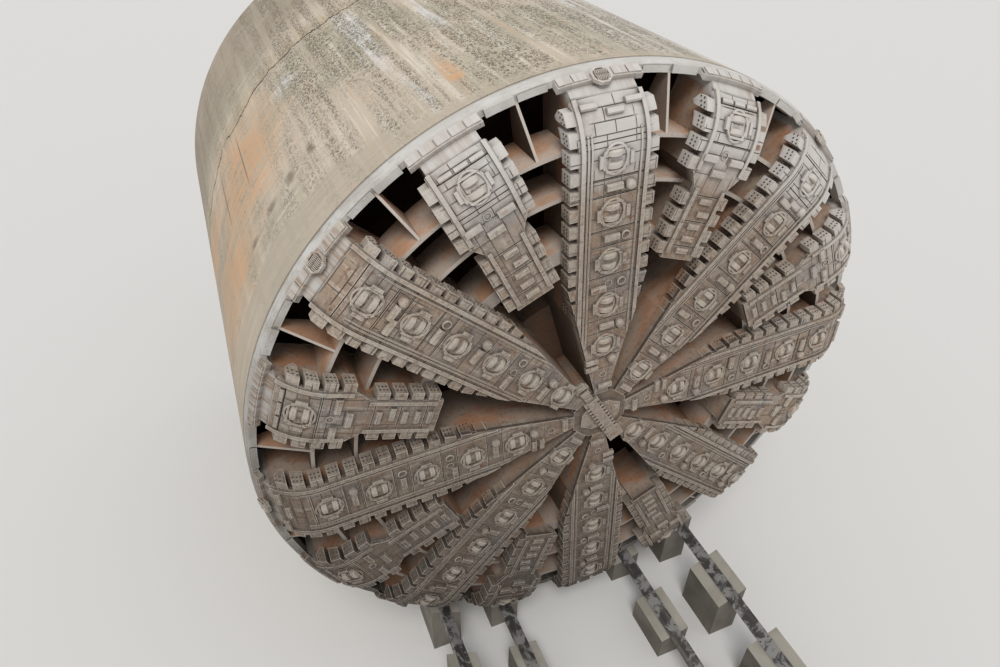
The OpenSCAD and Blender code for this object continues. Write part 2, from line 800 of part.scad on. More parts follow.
module gauge_rim() color([0.75, 0.73, 0.68]) head() {
    rotate_extrude($fn = round_fn) polygon([[rim_in, rim_gap], [rim_in, rim_front],
        [rim_r - rim_bevel, rim_front], [rim_r, rim_front - rim_bevel], [rim_r, rim_gap]]);
    wear_pads();
}

module arm_cuts(to_z) for (k = arm_nums) {
    spoke(k) through(to_z) main_plan(wall_setback);
    spoke(k, 0.5) through(to_z) aux_plan(wall_setback);
}

// the rings' facets start at the wall of an arm
ring_start = -head_turn - asin((main_w / 2 - wall_setback) / (ring_outer_r + ring_t / 2));
ring_back = face_front - ring_recess - ring_len;
module ring_plates() color([0.62, 0.5, 0.42]) head() difference() {
    for (ring = [[ring_inner_r, ring_inner_t], [ring_middle_r, ring_t], [ring_outer_r, ring_t]])
        translate([0, 0, ring_back]) rotate([0, 0, ring_start]) difference() {
            cylinder(h = ring_len, r = ring[0] + ring[1] / 2, $fn = round_fn);
            translate([0, 0, -grow])
                cylinder(h = ring_len + 2 * grow, r = ring[0] - ring[1] / 2, $fn = round_fn);
        }
    arm_cuts(back_z - 100);
}

// plates between the outer ring and the rim, one at each side of every main arm
web_t = 60;
module web_plates() color([0.6, 0.48, 0.4]) head() for (k = arm_nums, side = [-1, 1]) spoke(k)
    rotate([0, 0, side * (pad_from + pad_pitch)]) rotate([90, 0, 90])
    translate([0, 0, -web_t / 2]) linear_extrude(web_t)
        polygon([[ring_outer_r + ring_t / 2, face_front - ring_recess],
            [ring_outer_r + ring_t / 2, ring_back],
            [rim_in - seat_gap, rim_gap], [rim_in - seat_gap, rim_front]]);

module disc_cutters() color([0.7, 0.66, 0.6]) head() for (k = arm_nums) {
    spoke(k) for (s = main_cutters(k)) disc_cutter(s);
    spoke(k, 0.5) disc_cutter(aux_cutter);
}

module front_shield() color([0.76, 0.68, 0.56]) machine() rotate([-90, 0, 0]) difference() {
    cylinder(h = front_len, r = skin_r, $fn = round_fn);
    translate([0, 0, -grow]) cylinder(h = front_len + 2 * grow, r = skin_r - cutting_ring_t, $fn = round_fn);
    translate([0, 0, cutting_ring_len]) cylinder(h = front_len, r = skin_in, $fn = round_fn);
}

module tail_shield() color([0.74, 0.66, 0.54]) machine() {
    tube_y(tail_y, tail_end, skin_r, skin_in);
    tube_y(tail_y - joint_band, tail_y, skin_in, skin_in - joint_band_t);
    tube_y(tail_y - grow, tail_y + joint_band, skin_in + grow, skin_in - joint_band_t);
}

module pressure_bulkhead() color([0.6, 0.55, 0.5]) machine() {
    difference() {
        disc_y(bulkhead_y, bulkhead_y + bulkhead_t, skin_in);
        disc_y(bulkhead_y - grow, bulkhead_y + bulkhead_t + grow, drive_r);
    }
    difference() {
        for (a = [0 : stiffener_step : 360 - stiffener_step]) rotate([0, a, 0])
            translate([-stiffener_t / 2, bulkhead_y + bulkhead_t - grow, drive_r + stiffener_end_gap])
                cube([stiffener_t, stiffener_deep + grow, skin_in - drive_r - 2 * stiffener_end_gap]);
        translate([lock_x, bulkhead_y + bulkhead_t, lock_z])
            disc_y(0, stiffener_deep + grow, lock_r + lock_clear);
    }
}

module drive_housing() color([0.5, 0.55, 0.6]) machine() {
    tube_y(bulkhead_y, drive_back, drive_r, drum_r + turn_gap);
    disc_y(bulkhead_y + bulkhead_t + drive_floor, drive_back, drum_r + turn_gap + grow);
    disc_y(drive_back - grow, drive_back + swivel_len, swivel_r);
}

module drive_motors() color([0.35, 0.45, 0.55]) machine() for (i = [0 : motor_count - 1])
    rotate([0, i * 360 / motor_count, 0]) translate([0, 0, motor_circle]) {
        disc_y(drive_back + seat_gap, drive_back + gearbox_len, motor_r + motor_flange);
        disc_y(drive_back + gearbox_len - grow, drive_back + motor_len, motor_r);
    }

// places of the rams: pair number, side of the pair
function pair_a(i) = (i + 0.5) * 360 / ram_pairs - 45;
half_pair_a = pair_gap / 2 / ram_circle * 180 / PI;
module at_ram(i, side) rotate([0, pair_a(i) + side * half_pair_a, 0])
    translate([0, 0, ram_circle]) children();

module thrust_frame() color([0.55, 0.53, 0.5]) machine() {
    tube_y(thrust_y, thrust_y + thrust_t, skin_in, thrust_in);
    difference() {
        tube_y(rear_plate_y, rear_plate_y + thrust_t, skin_in, thrust_in);
        for (i = [0 : ram_pairs - 1], side = [-1, 1]) at_ram(i, side)
            disc_y(rear_plate_y - grow, rear_plate_y + thrust_t + grow, barrel_r + barrel_fit);
    }
    tube_y(thrust_y + thrust_t - grow, rear_plate_y + grow, thrust_in + thrust_wall, thrust_in);
}

module ram_barrels() color([0.45, 0.42, 0.38]) machine() for (i = [0 : ram_pairs - 1], side = [-1, 1])
    at_ram(i, side) difference() {
        union() {
            disc_y(barrel_y + seat_gap, barrel_end, barrel_r);
            disc_y(barrel_end - collar_len, barrel_end, barrel_r + collar_t);
        }
        disc_y(barrel_end - ram_stroke - bore_spare, barrel_end + grow, rod_r + rod_gap);
    }

module ram_group(g) machine() for (i = [g * group_size : (g + 1) * group_size - 1]) {
    shoe_w = pair_gap + 2 * rod_r + 2 * shoe_over;
    for (side = [-1, 1]) at_ram(i, side)
        disc_y(barrel_end - ram_stroke - rod_spare, shoe_rest_y + grow, rod_r);
    rotate([0, pair_a(i), 0]) translate([-shoe_w / 2, shoe_rest_y, ram_circle - shoe_h / 2])
        cube([shoe_w, shoe_len, shoe_h]);
}

module rams_top() color([0.7, 0.7, 0.72]) ram_group(0);
module rams_right() color([0.7, 0.7, 0.72]) ram_group(1);
module rams_bottom() color([0.7, 0.7, 0.72]) ram_group(2);
module rams_left() color([0.7, 0.7, 0.72]) ram_group(3);

// two upright girders and one across, between the rims of the thrust frame's rear plate
module support_girders() color([0.5, 0.5, 0.48]) machine() {
    girder_w = beam_w + girder_extra;
    for (side = [-1, 1]) translate([side * beam_x, 0, 0])
        box_y(rear_plate_y, rear_plate_y + thrust_t, girder_w,
            2 * sqrt(pow(thrust_in, 2) - pow(beam_x + girder_w / 2, 2)));
    box_y(rear_plate_y + grow, rear_plate_y + thrust_t - grow, 2 * thrust_in - girder_extra, girder_h);
}

module erector_beams() color([0.75, 0.6, 0.2]) machine() for (side = [-1, 1])
    translate([side * beam_x, 0, 0]) box_y(beam_start, beam_end, beam_w, beam_h);

module erector_carriage() color([0.7, 0.55, 0.2]) machine() {
    y0 = erector_y - erector_len / 2;
    guide_w = beam_w + guide_extra;
    tube_y(y0, y0 + erector_len, erector_drum_r, erector_drum_r - carriage_t);
    for (side = [-1, 1]) translate([side * beam_x, 0, 0]) difference() {
        box_y(y0, y0 + erector_len, guide_w,
            2 * sqrt(pow(erector_drum_r - guide_in, 2) - pow(beam_x + guide_w / 2, 2)));
        box_y(y0 - grow, y0 + erector_len + grow, beam_w + 2 * run_gap, beam_h + 2 * run_gap);
    }
}

module erector_ring() color([0.8, 0.62, 0.15]) machine() {
    y0 = erector_y - erector_len / 2 + ring_inset;
    y1 = erector_y + erector_len / 2 - ring_inset;
    tube_top = sqrt(pow(erector_ring_r - 40, 2) - pow(tube_x + tube_w / 2, 2));
    bore_w = tube_w - 2 * tube_wall;
    difference() {
        union() {
            tube_y(y0, y1, erector_ring_r, erector_drum_r + run_gap);
            for (side = [-1, 1])
                translate([side * tube_x - tube_w / 2, erector_y - tube_w / 2, -gripper_rest + tube_start])
                    cube([tube_w, tube_w, gripper_rest - tube_start - tube_top]);
            translate([-weight_w / 2, erector_y - weight_len / 2, erector_ring_r - weight_in])
                cube([weight_w, weight_len, weight_h]);
        }
        disc_y(y0 - grow, y1 + grow, erector_drum_r + run_gap);
        for (side = [-1, 1]) translate([side * tube_x - bore_w / 2, erector_y - bore_w / 2, -gripper_rest])
            cube([bore_w, bore_w, gripper_rest]);
    }
}

module erector_gripper() color([0.85, 0.7, 0.2]) machine() {
    leg_w = tube_w - 2 * tube_wall - 2 * run_gap;
    translate([0, erector_y, -gripper_rest]) {
        for (side = [-1, 1]) translate([side * tube_x - leg_w / 2, -leg_w / 2, leg_start])
            cube([leg_w, leg_w, gripper_travel + leg_spare]);
        translate([-gripper_w / 2, -gripper_len / 2, 0]) cube([gripper_w, gripper_len, gripper_t]);
    }
}

// arms of the hinge: from the lock's wall out past the pin, above and below the door's lug
module man_lock() color([0.6, 0.62, 0.6]) machine() {
    arm_x = lock_x + lock_r - 90;
    arm_y = lock_end - lock_t;
    translate([lock_x, 0, lock_z])
        tube_y(bulkhead_y + bulkhead_t + seat_gap, lock_end, lock_r, lock_r - lock_t);
    for (side = [-1, 1]) translate([0, 0, lock_z + side * (lug_h + lug_t + 2 * lug_gap) / 2 - lug_t / 2]) {
        translate([arm_x, arm_y, 0]) cube([hinge_x + lug_w / 2 - arm_x, 50, lug_t]);
        translate([hinge_x - lug_w / 2, arm_y, 0]) cube([lug_w, hinge_y - arm_y + lug_w / 2, lug_t]);
    }
    translate([hinge_x, hinge_y, lock_z - lug_h / 2 - pin_over])
        cylinder(h = lug_h + 2 * pin_over, r = hinge_pin_r, $fn = small_fn);
}

module man_lock_door() color([0.66, 0.68, 0.66]) machine() difference() {
    lug_x = lock_x + lock_r - 80;
    union() {
        translate([lock_x, 0, lock_z]) disc_y(door_y, door_y + lock_door_t, lock_r - door_inset);
        translate([lug_x, door_y, lock_z - lug_h / 2]) cube([hinge_x - lug_x, lock_door_t, lug_h]);
        translate([hinge_x, hinge_y, lock_z - lug_h / 2])
            cylinder(h = lug_h, r = hinge_pin_r + eye_t, $fn = small_fn);
    }
    translate([hinge_x, hinge_y, lock_z - lug_h])
        cylinder(h = 2 * lug_h, r = hinge_pin_r + pin_gap, $fn = small_fn);
}

// one bend of a pipe, from +Y up to +Z
module pipe_bend_up(r) rotate([90, 0, 90]) rotate([0, 0, -90]) rotate_extrude(angle = 90, $fn = round_fn)
    translate([pipe_bend, 0]) circle(r, $fn = small_fn * 2);

module disc_at(y0, y1, r, z) translate([0, 0, z]) disc_y(y0, y1, r);

// the whole run of one slurry line, as a solid rod
module pipe_run(r, over = 0) {
    disc_at(bulkhead_y + bulkhead_t + seat_gap - over, pipe_rise_y - pipe_bend, r, pipe_low_z);
    translate([0, pipe_rise_y - pipe_bend, pipe_low_z + pipe_bend]) pipe_bend_up(r);
    translate([0, pipe_rise_y, pipe_low_z + pipe_bend])
        cylinder(h = pipe_high_z - pipe_low_z - 2 * pipe_bend, r = r, $fn = small_fn * 2);
    translate([0, pipe_rise_y + pipe_bend, pipe_high_z - pipe_bend]) rotate([180, 0, 0]) pipe_bend_up(r);
    disc_at(pipe_rise_y + pipe_bend, pipe_end + over, r, pipe_high_z);
}

module slurry_line() difference() {
    union() {
        pipe_run(pipe_r + pipe_t);
        disc_at(pipe_end - flange_t, pipe_end, flange_bolt_r + flange_rim, pipe_high_z);
    }
    pipe_run(pipe_r, grow);
    for (i = [1 : flange_bolts]) translate([0, 0, pipe_high_z]) rotate([0, i * 360 / flange_bolts, 0])
        disc_at(pipe_end - flange_t - grow, pipe_end + grow, flange_hole_r, flange_bolt_r);
}

module slurry_pipes() color([0.5, 0.4, 0.35]) machine()
    for (side = [-1, 1]) translate([side * pipe_x, 0, 0]) slurry_line();

module tail_seals() color([0.3, 0.28, 0.26]) machine() for (row = seal_rows)
    tube_y(tail_end - row, tail_end - row + seal_t, skin_in, lining_out + seal_in);

// the two rails of each side, tangent to the skin
rail_angles = [-rail_outer_a, -rail_inner_a, rail_inner_a, rail_outer_a];

module slide_rails() color([0.3, 0.28, 0.26]) machine() for (a = rail_angles) rotate([0, -a, 0])
    translate([-rail_w / 2, -cradle_front, rail_z - rail_t]) cube([rail_w, cradle_len, rail_t]);

// a pedestal: its top slopes with the rail and stays below the skin, with the rail let into it
module pedestal(a, y0) difference() {
    translate([skin_r * sin(a) - pedestal_w / 2, y0, -axis_h])
        cube([pedestal_w, pedestal_len, axis_h - skin_r * cos(a) + pedestal_w]);
    rotate([0, -a, 0]) translate([0, y0 - grow, rail_z]) {
        translate([-rail_w / 2, 0, -rail_t]) cube([rail_w, pedestal_len + 2 * grow, 2 * rail_t]);
        translate([-pedestal_w * 2, 0, -pedestal_drop])
            cube([pedestal_w * 4, pedestal_len + 2 * grow, pedestal_w * 3]);
    }
}

module pedestals() color([0.8, 0.75, 0.66]) machine() for (a = rail_angles, i = [0 : pedestal_count - 1])
    pedestal(a, i * pedestal_pitch - cradle_front);

for (k = arm_nums) {
    color([0.66, 0.6, 0.52]) main_arm(k);
    color([0.62, 0.56, 0.5]) aux_arm(k);
}
head_hub();
gauge_rim();
ring_plates();
web_plates();
disc_cutters();
front_shield();
tail_shield();
pressure_bulkhead();
drive_housing();
drive_motors();
thrust_frame();
ram_barrels();
rams_top();
rams_right();
rams_bottom();
rams_left();
support_girders();
erector_beams();
erector_carriage();
erector_ring();
erector_gripper();
man_lock();
man_lock_door();
slurry_pipes();
tail_seals();
slide_rails();
pedestals();
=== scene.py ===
import json
import math
import bpy
import numpy as np
from mathutils import Matrix, Vector


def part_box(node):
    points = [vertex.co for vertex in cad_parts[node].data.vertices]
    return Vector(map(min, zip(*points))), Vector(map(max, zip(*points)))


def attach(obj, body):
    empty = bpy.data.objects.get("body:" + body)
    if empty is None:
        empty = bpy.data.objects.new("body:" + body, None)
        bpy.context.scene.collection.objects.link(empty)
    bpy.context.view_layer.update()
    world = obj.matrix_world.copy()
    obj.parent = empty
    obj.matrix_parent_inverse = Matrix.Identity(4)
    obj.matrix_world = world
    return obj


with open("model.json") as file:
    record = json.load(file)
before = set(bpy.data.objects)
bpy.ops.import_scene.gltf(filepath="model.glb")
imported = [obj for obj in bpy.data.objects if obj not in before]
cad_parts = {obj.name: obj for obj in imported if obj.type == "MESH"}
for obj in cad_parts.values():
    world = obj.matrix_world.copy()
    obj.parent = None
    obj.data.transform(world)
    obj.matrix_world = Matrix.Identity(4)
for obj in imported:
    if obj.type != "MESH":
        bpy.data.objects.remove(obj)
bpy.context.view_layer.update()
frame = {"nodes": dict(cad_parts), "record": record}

print("frame loaded")

# the machine in metres, in the frame's own axes
machine = {
    "skinRadius": 8.8,       # outside of the shield skin
    "axisHeight": 9.6,       # axis above the floor
    "skinFront": -4.705,     # Y of the skin's front edge
    "skinJoint": 4.185,      # Y of the joint between the two skins
    "skinEnd": 11.505,       # Y of the tail's end
    "faceFront": 1.25,       # flat face ahead of the skin's front edge
    "mudLine": (-2.80, -2.77),  # Y at the bulkhead's front, where the mud ends and the paint starts
    "skinInside": (8.745, 8.765),
    "jointGap": 0.020,
}


# shader wiring

class Wire:  # a socket that values can be worked out with
    def __init__(self, sheet, socket):
        self.sheet, self.socket = sheet, socket

    def math(self, operation, *others, clamp=False):
        values = {0: self}
        values.update({i + 1: v for i, v in enumerate(others)})
        return self.sheet.add("ShaderNodeMath", {"operation": operation, "use_clamp": clamp}, values)["Value"]

    def __add__(self, other): return self.math("ADD", other)
    def __radd__(self, other): return self.math("ADD", other)
    def __sub__(self, other): return self.math("SUBTRACT", other)
    def __rsub__(self, other): return self.sheet.number(other).math("SUBTRACT", self)
    def __mul__(self, other): return self.math("MULTIPLY", other)
    def __rmul__(self, other): return self.math("MULTIPLY", other)
    def __truediv__(self, other): return self.math("DIVIDE", other)
    def __rtruediv__(self, other): return self.sheet.number(other).math("DIVIDE", self)
    def __neg__(self): return self.math("MULTIPLY", -1.0)
    def __abs__(self): return self.math("ABSOLUTE")
    def __pow__(self, other): return self.math("POWER", other)
    def __gt__(self, other): return self.math("GREATER_THAN", other)

    def between(self, low, high):  # 0 at low, 1 at high, smooth
        node = self.sheet.add("ShaderNodeMapRange", {"interpolation_type": "SMOOTHSTEP"},
                              {"Value": self, "From Min": low, "From Max": high})
        return node["Result"]

    def rounded(self): return self.math("ROUND")
    def fraction(self): return self.math("FRACT")
    def sine(self): return self.math("SINE")
    def cosine(self): return self.math("COSINE")
    def angleOver(self, other): return self.math("ARCTAN2", other)
    def most(self, other): return self.math("MAXIMUM", other)
    def clamped(self): return self.math("ADD", 0.0, clamp=True)


class Added:  # a node's outputs as wires
    def __init__(self, sheet, node):
        self.sheet, self.node = sheet, node

    def __getitem__(self, key):
        return Wire(self.sheet, self.node.outputs[key])


class Sheet:  # one material being wired
    def __init__(self, name):
        self.material = bpy.data.materials.new(name)
        self.material.use_nodes = True
        self.tree = self.material.node_tree
        self.tree.nodes.clear()
        self.output = self.tree.nodes.new("ShaderNodeOutputMaterial")
        self.place = self.add("ShaderNodeTexCoord")["Object"]

    def add(self, kind, settings=None, values=None):
        node = self.tree.nodes.new(kind)
        for key, value in (settings or {}).items():
            if key == "stops":
                ramp = node.color_ramp
                while len(ramp.elements) > 1:
                    ramp.elements.remove(ramp.elements[-1])
                for i, (at, colour) in enumerate(value):
                    stop = ramp.elements[0] if i == 0 else ramp.elements.new(at)
                    stop.position, stop.color = at, colour
            else:
                setattr(node, key, value)
        for key, value in (values or {}).items():
            socket = node.inputs[key]
            if isinstance(value, Wire):
                self.tree.links.new(value.socket, socket)
            else:
                socket.default_value = value
        return Added(self, node)

    def number(self, value):
        return self.add("ShaderNodeMath", {"operation": "ADD"}, {0: float(value), 1: 0.0})["Value"]

    def mix(self, factor, first, second, blend="MIX"):
        node = self.tree.nodes.new("ShaderNodeMix")
        node.data_type, node.blend_type = "RGBA", blend
        for key, value in (("Factor_Float", factor), ("A_Color", first), ("B_Color", second)):
            socket = next(s for s in node.inputs if s.identifier == key)
            if isinstance(value, Wire):
                self.tree.links.new(value.socket, socket)
            else:
                socket.default_value = value if key == "Factor_Float" else tuple(value) + (1.0,) * (4 - len(value))
        return Wire(self, next(s for s in node.outputs if s.identifier == "Result_Color"))

    def coat(self, colour, mask, amount, over):  # a colour laid over another where the mask is
        return self.mix((mask * amount).clamped(), colour, over)

    def blend(self, factor, a, b):  # the number a where the factor is 0, b where it is 1
        return factor * b + (1 - factor) * a

    def noise(self, scale, detail=4.0, rough=0.55, where=None, distort=0.0):
        return self.add("ShaderNodeTexNoise", {"noise_dimensions": "3D"},
                        {"Vector": where or self.place, "Scale": scale, "Detail": detail, "Roughness": rough,
                         "Distortion": distort})["Fac"]

    def stretched(self, scale, shift=(0.0, 0.0, 0.0)):
        return self.add("ShaderNodeMapping", {"vector_type": "POINT"},
                        {"Vector": self.place, "Location": shift, "Scale": scale})["Vector"]

    def axes(self, vector=None):
        parts = self.add("ShaderNodeSeparateXYZ", None, {"Vector": vector or self.place})
        return parts["X"], parts["Y"], parts["Z"]

    def joined(self, x, y, z=0.0):
        return self.add("ShaderNodeCombineXYZ", None, {"X": x, "Y": y, "Z": z})["Vector"]

    def facing(self):  # the surface's direction in the piece's own axes
        normal = self.add("ShaderNodeNewGeometry")["Normal"]
        turned = self.add("ShaderNodeVectorTransform", {"vector_type": "NORMAL", "convert_from": "WORLD",
                                                        "convert_to": "OBJECT"}, {"Vector": normal})["Vector"]
        return self.axes(turned)

    def edges(self, radius):  # 1 along the piece's outer edges, worked out from a rounded normal
        rounded = self.add("ShaderNodeBevel", {"samples": 4}, {"Radius": radius})["Normal"]
        plain = self.add("ShaderNodeNewGeometry")["Normal"]
        alike = self.add("ShaderNodeVectorMath", {"operation": "DOT_PRODUCT"}, {0: rounded, 1: plain})["Value"]
        return (1 - alike).between(0.004, 0.09)

    def occlusion(self, distance):  # 1 in the open, towards 0 in corners of the same piece
        return self.add("ShaderNodeAmbientOcclusion", {"samples": 6, "only_local": True}, {"Distance": distance})["AO"]

    def bump(self, height, strength, distance):
        return self.add("ShaderNodeBump", None,
                        {"Height": height, "Strength": strength, "Distance": distance})["Normal"]

    def finish(self, colour, roughness, normal=None, metallic=0.0, gloss=0.5):
        values = {"Base Color": colour, "Roughness": roughness, "Metallic": metallic, "Specular IOR Level": gloss}
        if not isinstance(colour, Wire):
            values["Base Color"] = tuple(colour) + (1.0,) * (4 - len(colour))
        if normal is not None:
            values["Normal"] = normal
        shader = self.add("ShaderNodeBsdfPrincipled", None, values)
        self.tree.links.new(shader["BSDF"].socket, self.output.inputs["Surface"])
        return self.material


# the cutterhead's own places, in metres
head = {
    "turn": -3.5,            # degrees clockwise from the front, of the first arm
    "armStep": 22.5,         # degrees between neighbouring arms
    "flatRadius": 7.35,      # where the flat face ends
    "edgeRound": 1.35,       # radius of the rounding
    "mainEdge": 0.81,        # half width of a main arm
    "neckEdge": 0.47,        # half width of an auxiliary arm's neck
    "headEdge": 0.70,        # half width of its outer end
    "neckTop": 6.45,
    "shoulderTop": 6.78,
}

headLook = {
    "clay": (0.325, 0.262, 0.208),       # dry clay that cakes the face
    "clayWarm": (0.300, 0.212, 0.148),
    "clayPale": (0.540, 0.480, 0.405),   # worn edges and dust on raised tools
    "chalk": (0.600, 0.570, 0.530),      # chalky coat on the upper outer parts
    "steelGrey": (0.225, 0.220, 0.222),  # steel showing through
    "mottle": (0.135, 0.098, 0.073),
    "rust": (0.205, 0.100, 0.055),
    "crevice": (0.046, 0.033, 0.025),    # dirt in the plate joints; painted shade in grooves and corners
    "browner": (0.40, 0.33, 0.27),       # tint of the clay towards the middle
    "cove": (0.480, 0.445, 0.405),       # scoured hollow before the rim, with painted light
    "wallLit": (0.390, 0.285, 0.210),    # side walls that look up
    "wallShade": (0.085, 0.056, 0.038),  # side walls that look down
    "orange": (0.400, 0.175, 0.080),     # rust streaks on the walls
    "rimWhite": (0.560, 0.540, 0.505),   # scoured rim
    "damp": (0.150, 0.135, 0.120),       # painted shade, darker towards the lower left, with some damp
}

# joints between the wear plates: distances of the cutters along an arm, and of the joints from the space between them
headSeams = {"oddFirst": 2.40, "firstStep": 0.80, "pitch": 1.21, "blockBand": 0.175, "strip": 0.47, "courses": 7.05}



def armPlace(s):  # arm number, distance across and along the nearest arm, height above the rounded face
    x, y, z = s.axes()
    z = z - machine["axisHeight"]
    step = math.radians(head["armStep"])
    turn = (x.angleOver(z) - math.radians(head["turn"])) / step
    number = turn.rounded()
    side = (turn - number) * step
    radius = (x * x + z * z) ** 0.5
    across, along = radius * side.sine(), radius * side.cosine()
    centre = machine["skinFront"] - machine["faceFront"] + head["edgeRound"]
    ahead = (centre - y).most(0.0)
    over = (along - head["flatRadius"]).most(0.0)
    lift = (over * over + ahead * ahead) ** 0.5 - head["edgeRound"]
    return number, across, along, lift


def weatherAndShade(s, colour, along, chalkiness=1.0):  # chalky above; painted shade, with some damp, at the lower left
    x, z = s.axes()[::2]
    z = z - machine["axisHeight"]
    patch = s.noise(0.5, 4.0, 0.6)
    chalk = along.between(6.1, 7.6) * (z + 0.35 * x).between(3.6, 7.0) * patch.between(0.22, 0.5)
    colour = s.mix((chalk * 0.80 * chalkiness).clamped(), colour, headLook["chalk"])
    # painted shade: darker towards the lower left
    low = (0.12 - 0.040 * x - 0.075 * z).clamped() * (0.75 + patch)
    return s.mix(low.clamped(), colour, headLook["damp"], "MULTIPLY")


def makeHeadMaterial(name, innerEdge, outerEdge, paleness=0.0):
    s = Sheet(name)
    number, across, along, lift = armPlace(s)
    x, y, z = s.axes()
    nz = s.facing()[2]
    blotch = s.noise(1.2, 5.0)
    fine = s.noise(9.0, 6.0, 0.65)
    grit = s.noise(34.0, 4.0, 0.7)
    smears = s.noise(1.0, 5.0, 0.65, s.joined(across * 6.5, along * 0.9, number * 3.7))
    strokes = s.noise(1.0, 5.0, 0.7, s.joined(across * 1.6, along * 9.5, number * 1.9))
    edge = innerEdge + (outerEdge - innerEdge) * along.between(head["neckTop"], head["shoulderTop"])
    plates = lift.between(0.010, 0.018) * (1 - lift.between(0.034, 0.044))
    raised = lift.between(0.036, 0.080)
    tooth = (abs(across) - edge).between(0.0, 0.012)
    # plate joints: two lines across between cutters, strips beside them, short courses on the outer part
    first = headSeams["oddFirst"] - (number * 0.25).fraction().math("PINGPONG", 0.5) * 2.0 * headSeams["firstStep"]
    cell = abs(((along - first) / headSeams["pitch"]).fraction() - 0.5) * headSeams["pitch"]
    courses = s.add("ShaderNodeTexBrick", {"offset": 0.43, "offset_frequency": 2, "squash": 0.7, "squash_frequency": 3},
                    {"Vector": s.joined(across + 3.20, along + number * 0.31), "Scale": 1.0, "Mortar Size": 0.012,
                     "Mortar Smooth": 0.25, "Brick Width": 0.66, "Row Height": 0.235})["Fac"]
    wide = s.add("ShaderNodeTexBrick", {"offset": 0.37, "offset_frequency": 2, "squash": 0.6, "squash_frequency": 3},
                 {"Vector": s.joined(along + number * 2.31, across + 3.03), "Scale": 1.0, "Mortar Size": 0.012,
                  "Mortar Smooth": 0.25, "Brick Width": 1.30, "Row Height": 0.40})["Fac"]
    lines = 1 - abs(cell - headSeams["blockBand"]).between(0.008, 0.016)
    strips = (1 - abs(abs(across) - headSeams["strip"]).between(0.007, 0.014)) * s.noise(0.9, 2.0).between(0.42, 0.5)
    inner = (lines * (edge > 0.75)).most(strips * 0.8).most(wide * 0.8)
    outer = along.between(headSeams["courses"], headSeams["courses"] + 0.03)
    seams = s.blend(outer, inner, courses) * plates
    seams = seams * (0.45 + 0.55 * along.between(4.6, 6.6))  # the inner plates are caked over
    colour = s.mix(blotch.between(0.38, 0.62), headLook["clay"], headLook["clayWarm"])
    colour = s.coat(colour, s.noise(0.8, 4.0, 0.6).between(0.52, 0.66), 0.6, headLook["steelGrey"])
    colour = s.coat(colour, smears.between(0.50, 0.66), 0.55, headLook["clayPale"])
    colour = s.mix((raised * (0.15 + fine.between(0.40, 0.62) * 0.65)).clamped(), colour, headLook["clayPale"])
    colour = s.mix((tooth * (0.10 + fine.between(0.42, 0.60) * 0.65)).clamped(), colour, headLook["clayPale"])
    colour = s.coat(colour, strokes.between(0.52, 0.64), 0.55, headLook["mottle"])
    colour = s.coat(colour, fine.between(0.53, 0.66), 0.55, headLook["mottle"])
    colour = s.coat(colour, s.noise(4.5, 3.0, 0.5).between(0.63, 0.69), 0.7, headLook["rust"])
    colour = s.coat(colour, grit.between(0.58, 0.70), 0.5, headLook["clayPale"])
    colour = s.coat(colour, grit.between(0.44, 0.34), 0.6, headLook["mottle"])
    colour = s.mix((1 - along.between(4.2, 7.2)) * 0.30, colour, headLook["browner"], "MULTIPLY")
    colour = weatherAndShade(s, colour, along)
    # painted shade, with some dirt, in the shallow recesses below the face
    grooves = (1 - lift.between(-0.012, 0.014)) * lift.between(-0.10, -0.06)
    grooves = grooves * (1 - (abs(across) - edge).between(-0.03, 0.0))
    colour = s.mix(((seams * 0.85).most(grooves * 0.85)).clamped(), colour, headLook["crevice"])
    # side walls and the depth behind the face
    deep = (-lift).between(0.05, 0.42) * (1 - tooth * (1 - (-lift).between(0.3, 0.42)))
    drips = s.noise(1.0, 5.0, 0.6, s.joined(x * 0.9, y * 1.6, z * 0.45))
    wall = s.mix(nz.between(-0.25, 0.45), headLook["wallShade"], headLook["wallLit"])
    wall = s.coat(wall, drips.between(0.44, 0.60) * nz.between(-0.5, 0.3), 0.8, headLook["orange"])
    # painted shade: the walls darker deeper behind the face
    wall = s.coat(wall, (-lift).between(0.6, 1.6), 0.5, headLook["mottle"])
    wall = s.coat(wall, fine.between(0.52, 0.66), 0.45, headLook["mottle"])
    # painted shade: the walls darker towards the lower left
    wall = s.mix((0.10 - 0.03 * x - 0.05 * (z - machine["axisHeight"])).clamped(), wall, headLook["damp"], "MULTIPLY")
    colour = s.mix(deep, colour, wall)
    # painted light: the hollow before the rim made pale against the rim's shade, partly scoured
    cove = along.between(8.36, 8.42) * (1 - (abs(across) - edge).between(-0.03, -0.005))
    cove = cove * (1 - (-lift).between(0.55, 0.7))
    hollow = s.mix(smears.between(0.40, 0.62), headLook["cove"], headLook["clayWarm"])
    colour = s.mix(cove, colour, weatherAndShade(s, hollow, along, 0.8))
    colour = s.mix(paleness, colour, headLook["clayPale"])
    # worn pale edges, painted shade in the corners
    worn = s.edges(0.026) * (0.45 + fine.between(0.35, 0.6)) * (1 - deep * 0.6)
    colour = s.coat(colour, worn, 0.9, headLook["clayPale"])
    # painted shade: corners darkened by an ambient occlusion node, less in the hollow before the rim
    near = s.occlusion(0.13)
    colour = s.mix(((0.93 - near) * (1.5 - 0.9 * cove)).clamped(), colour, headLook["crevice"])
    height = blotch * 0.3 + fine * 0.55 + grit * 0.25 + strokes * 0.3 - seams * 0.9
    return s.finish(colour, 0.76 + 0.2 * fine, s.bump(height, 0.8, 0.026))


rimLook = {
    "dull": (0.40, 0.365, 0.315),
    "brushed": (0.26, 0.235, 0.205),
    "pits": (0.12, 0.085, 0.06),
    "innerLip": (0.20, 0.165, 0.13),
    "gap": (0.075, 0.028, 0.018),
}


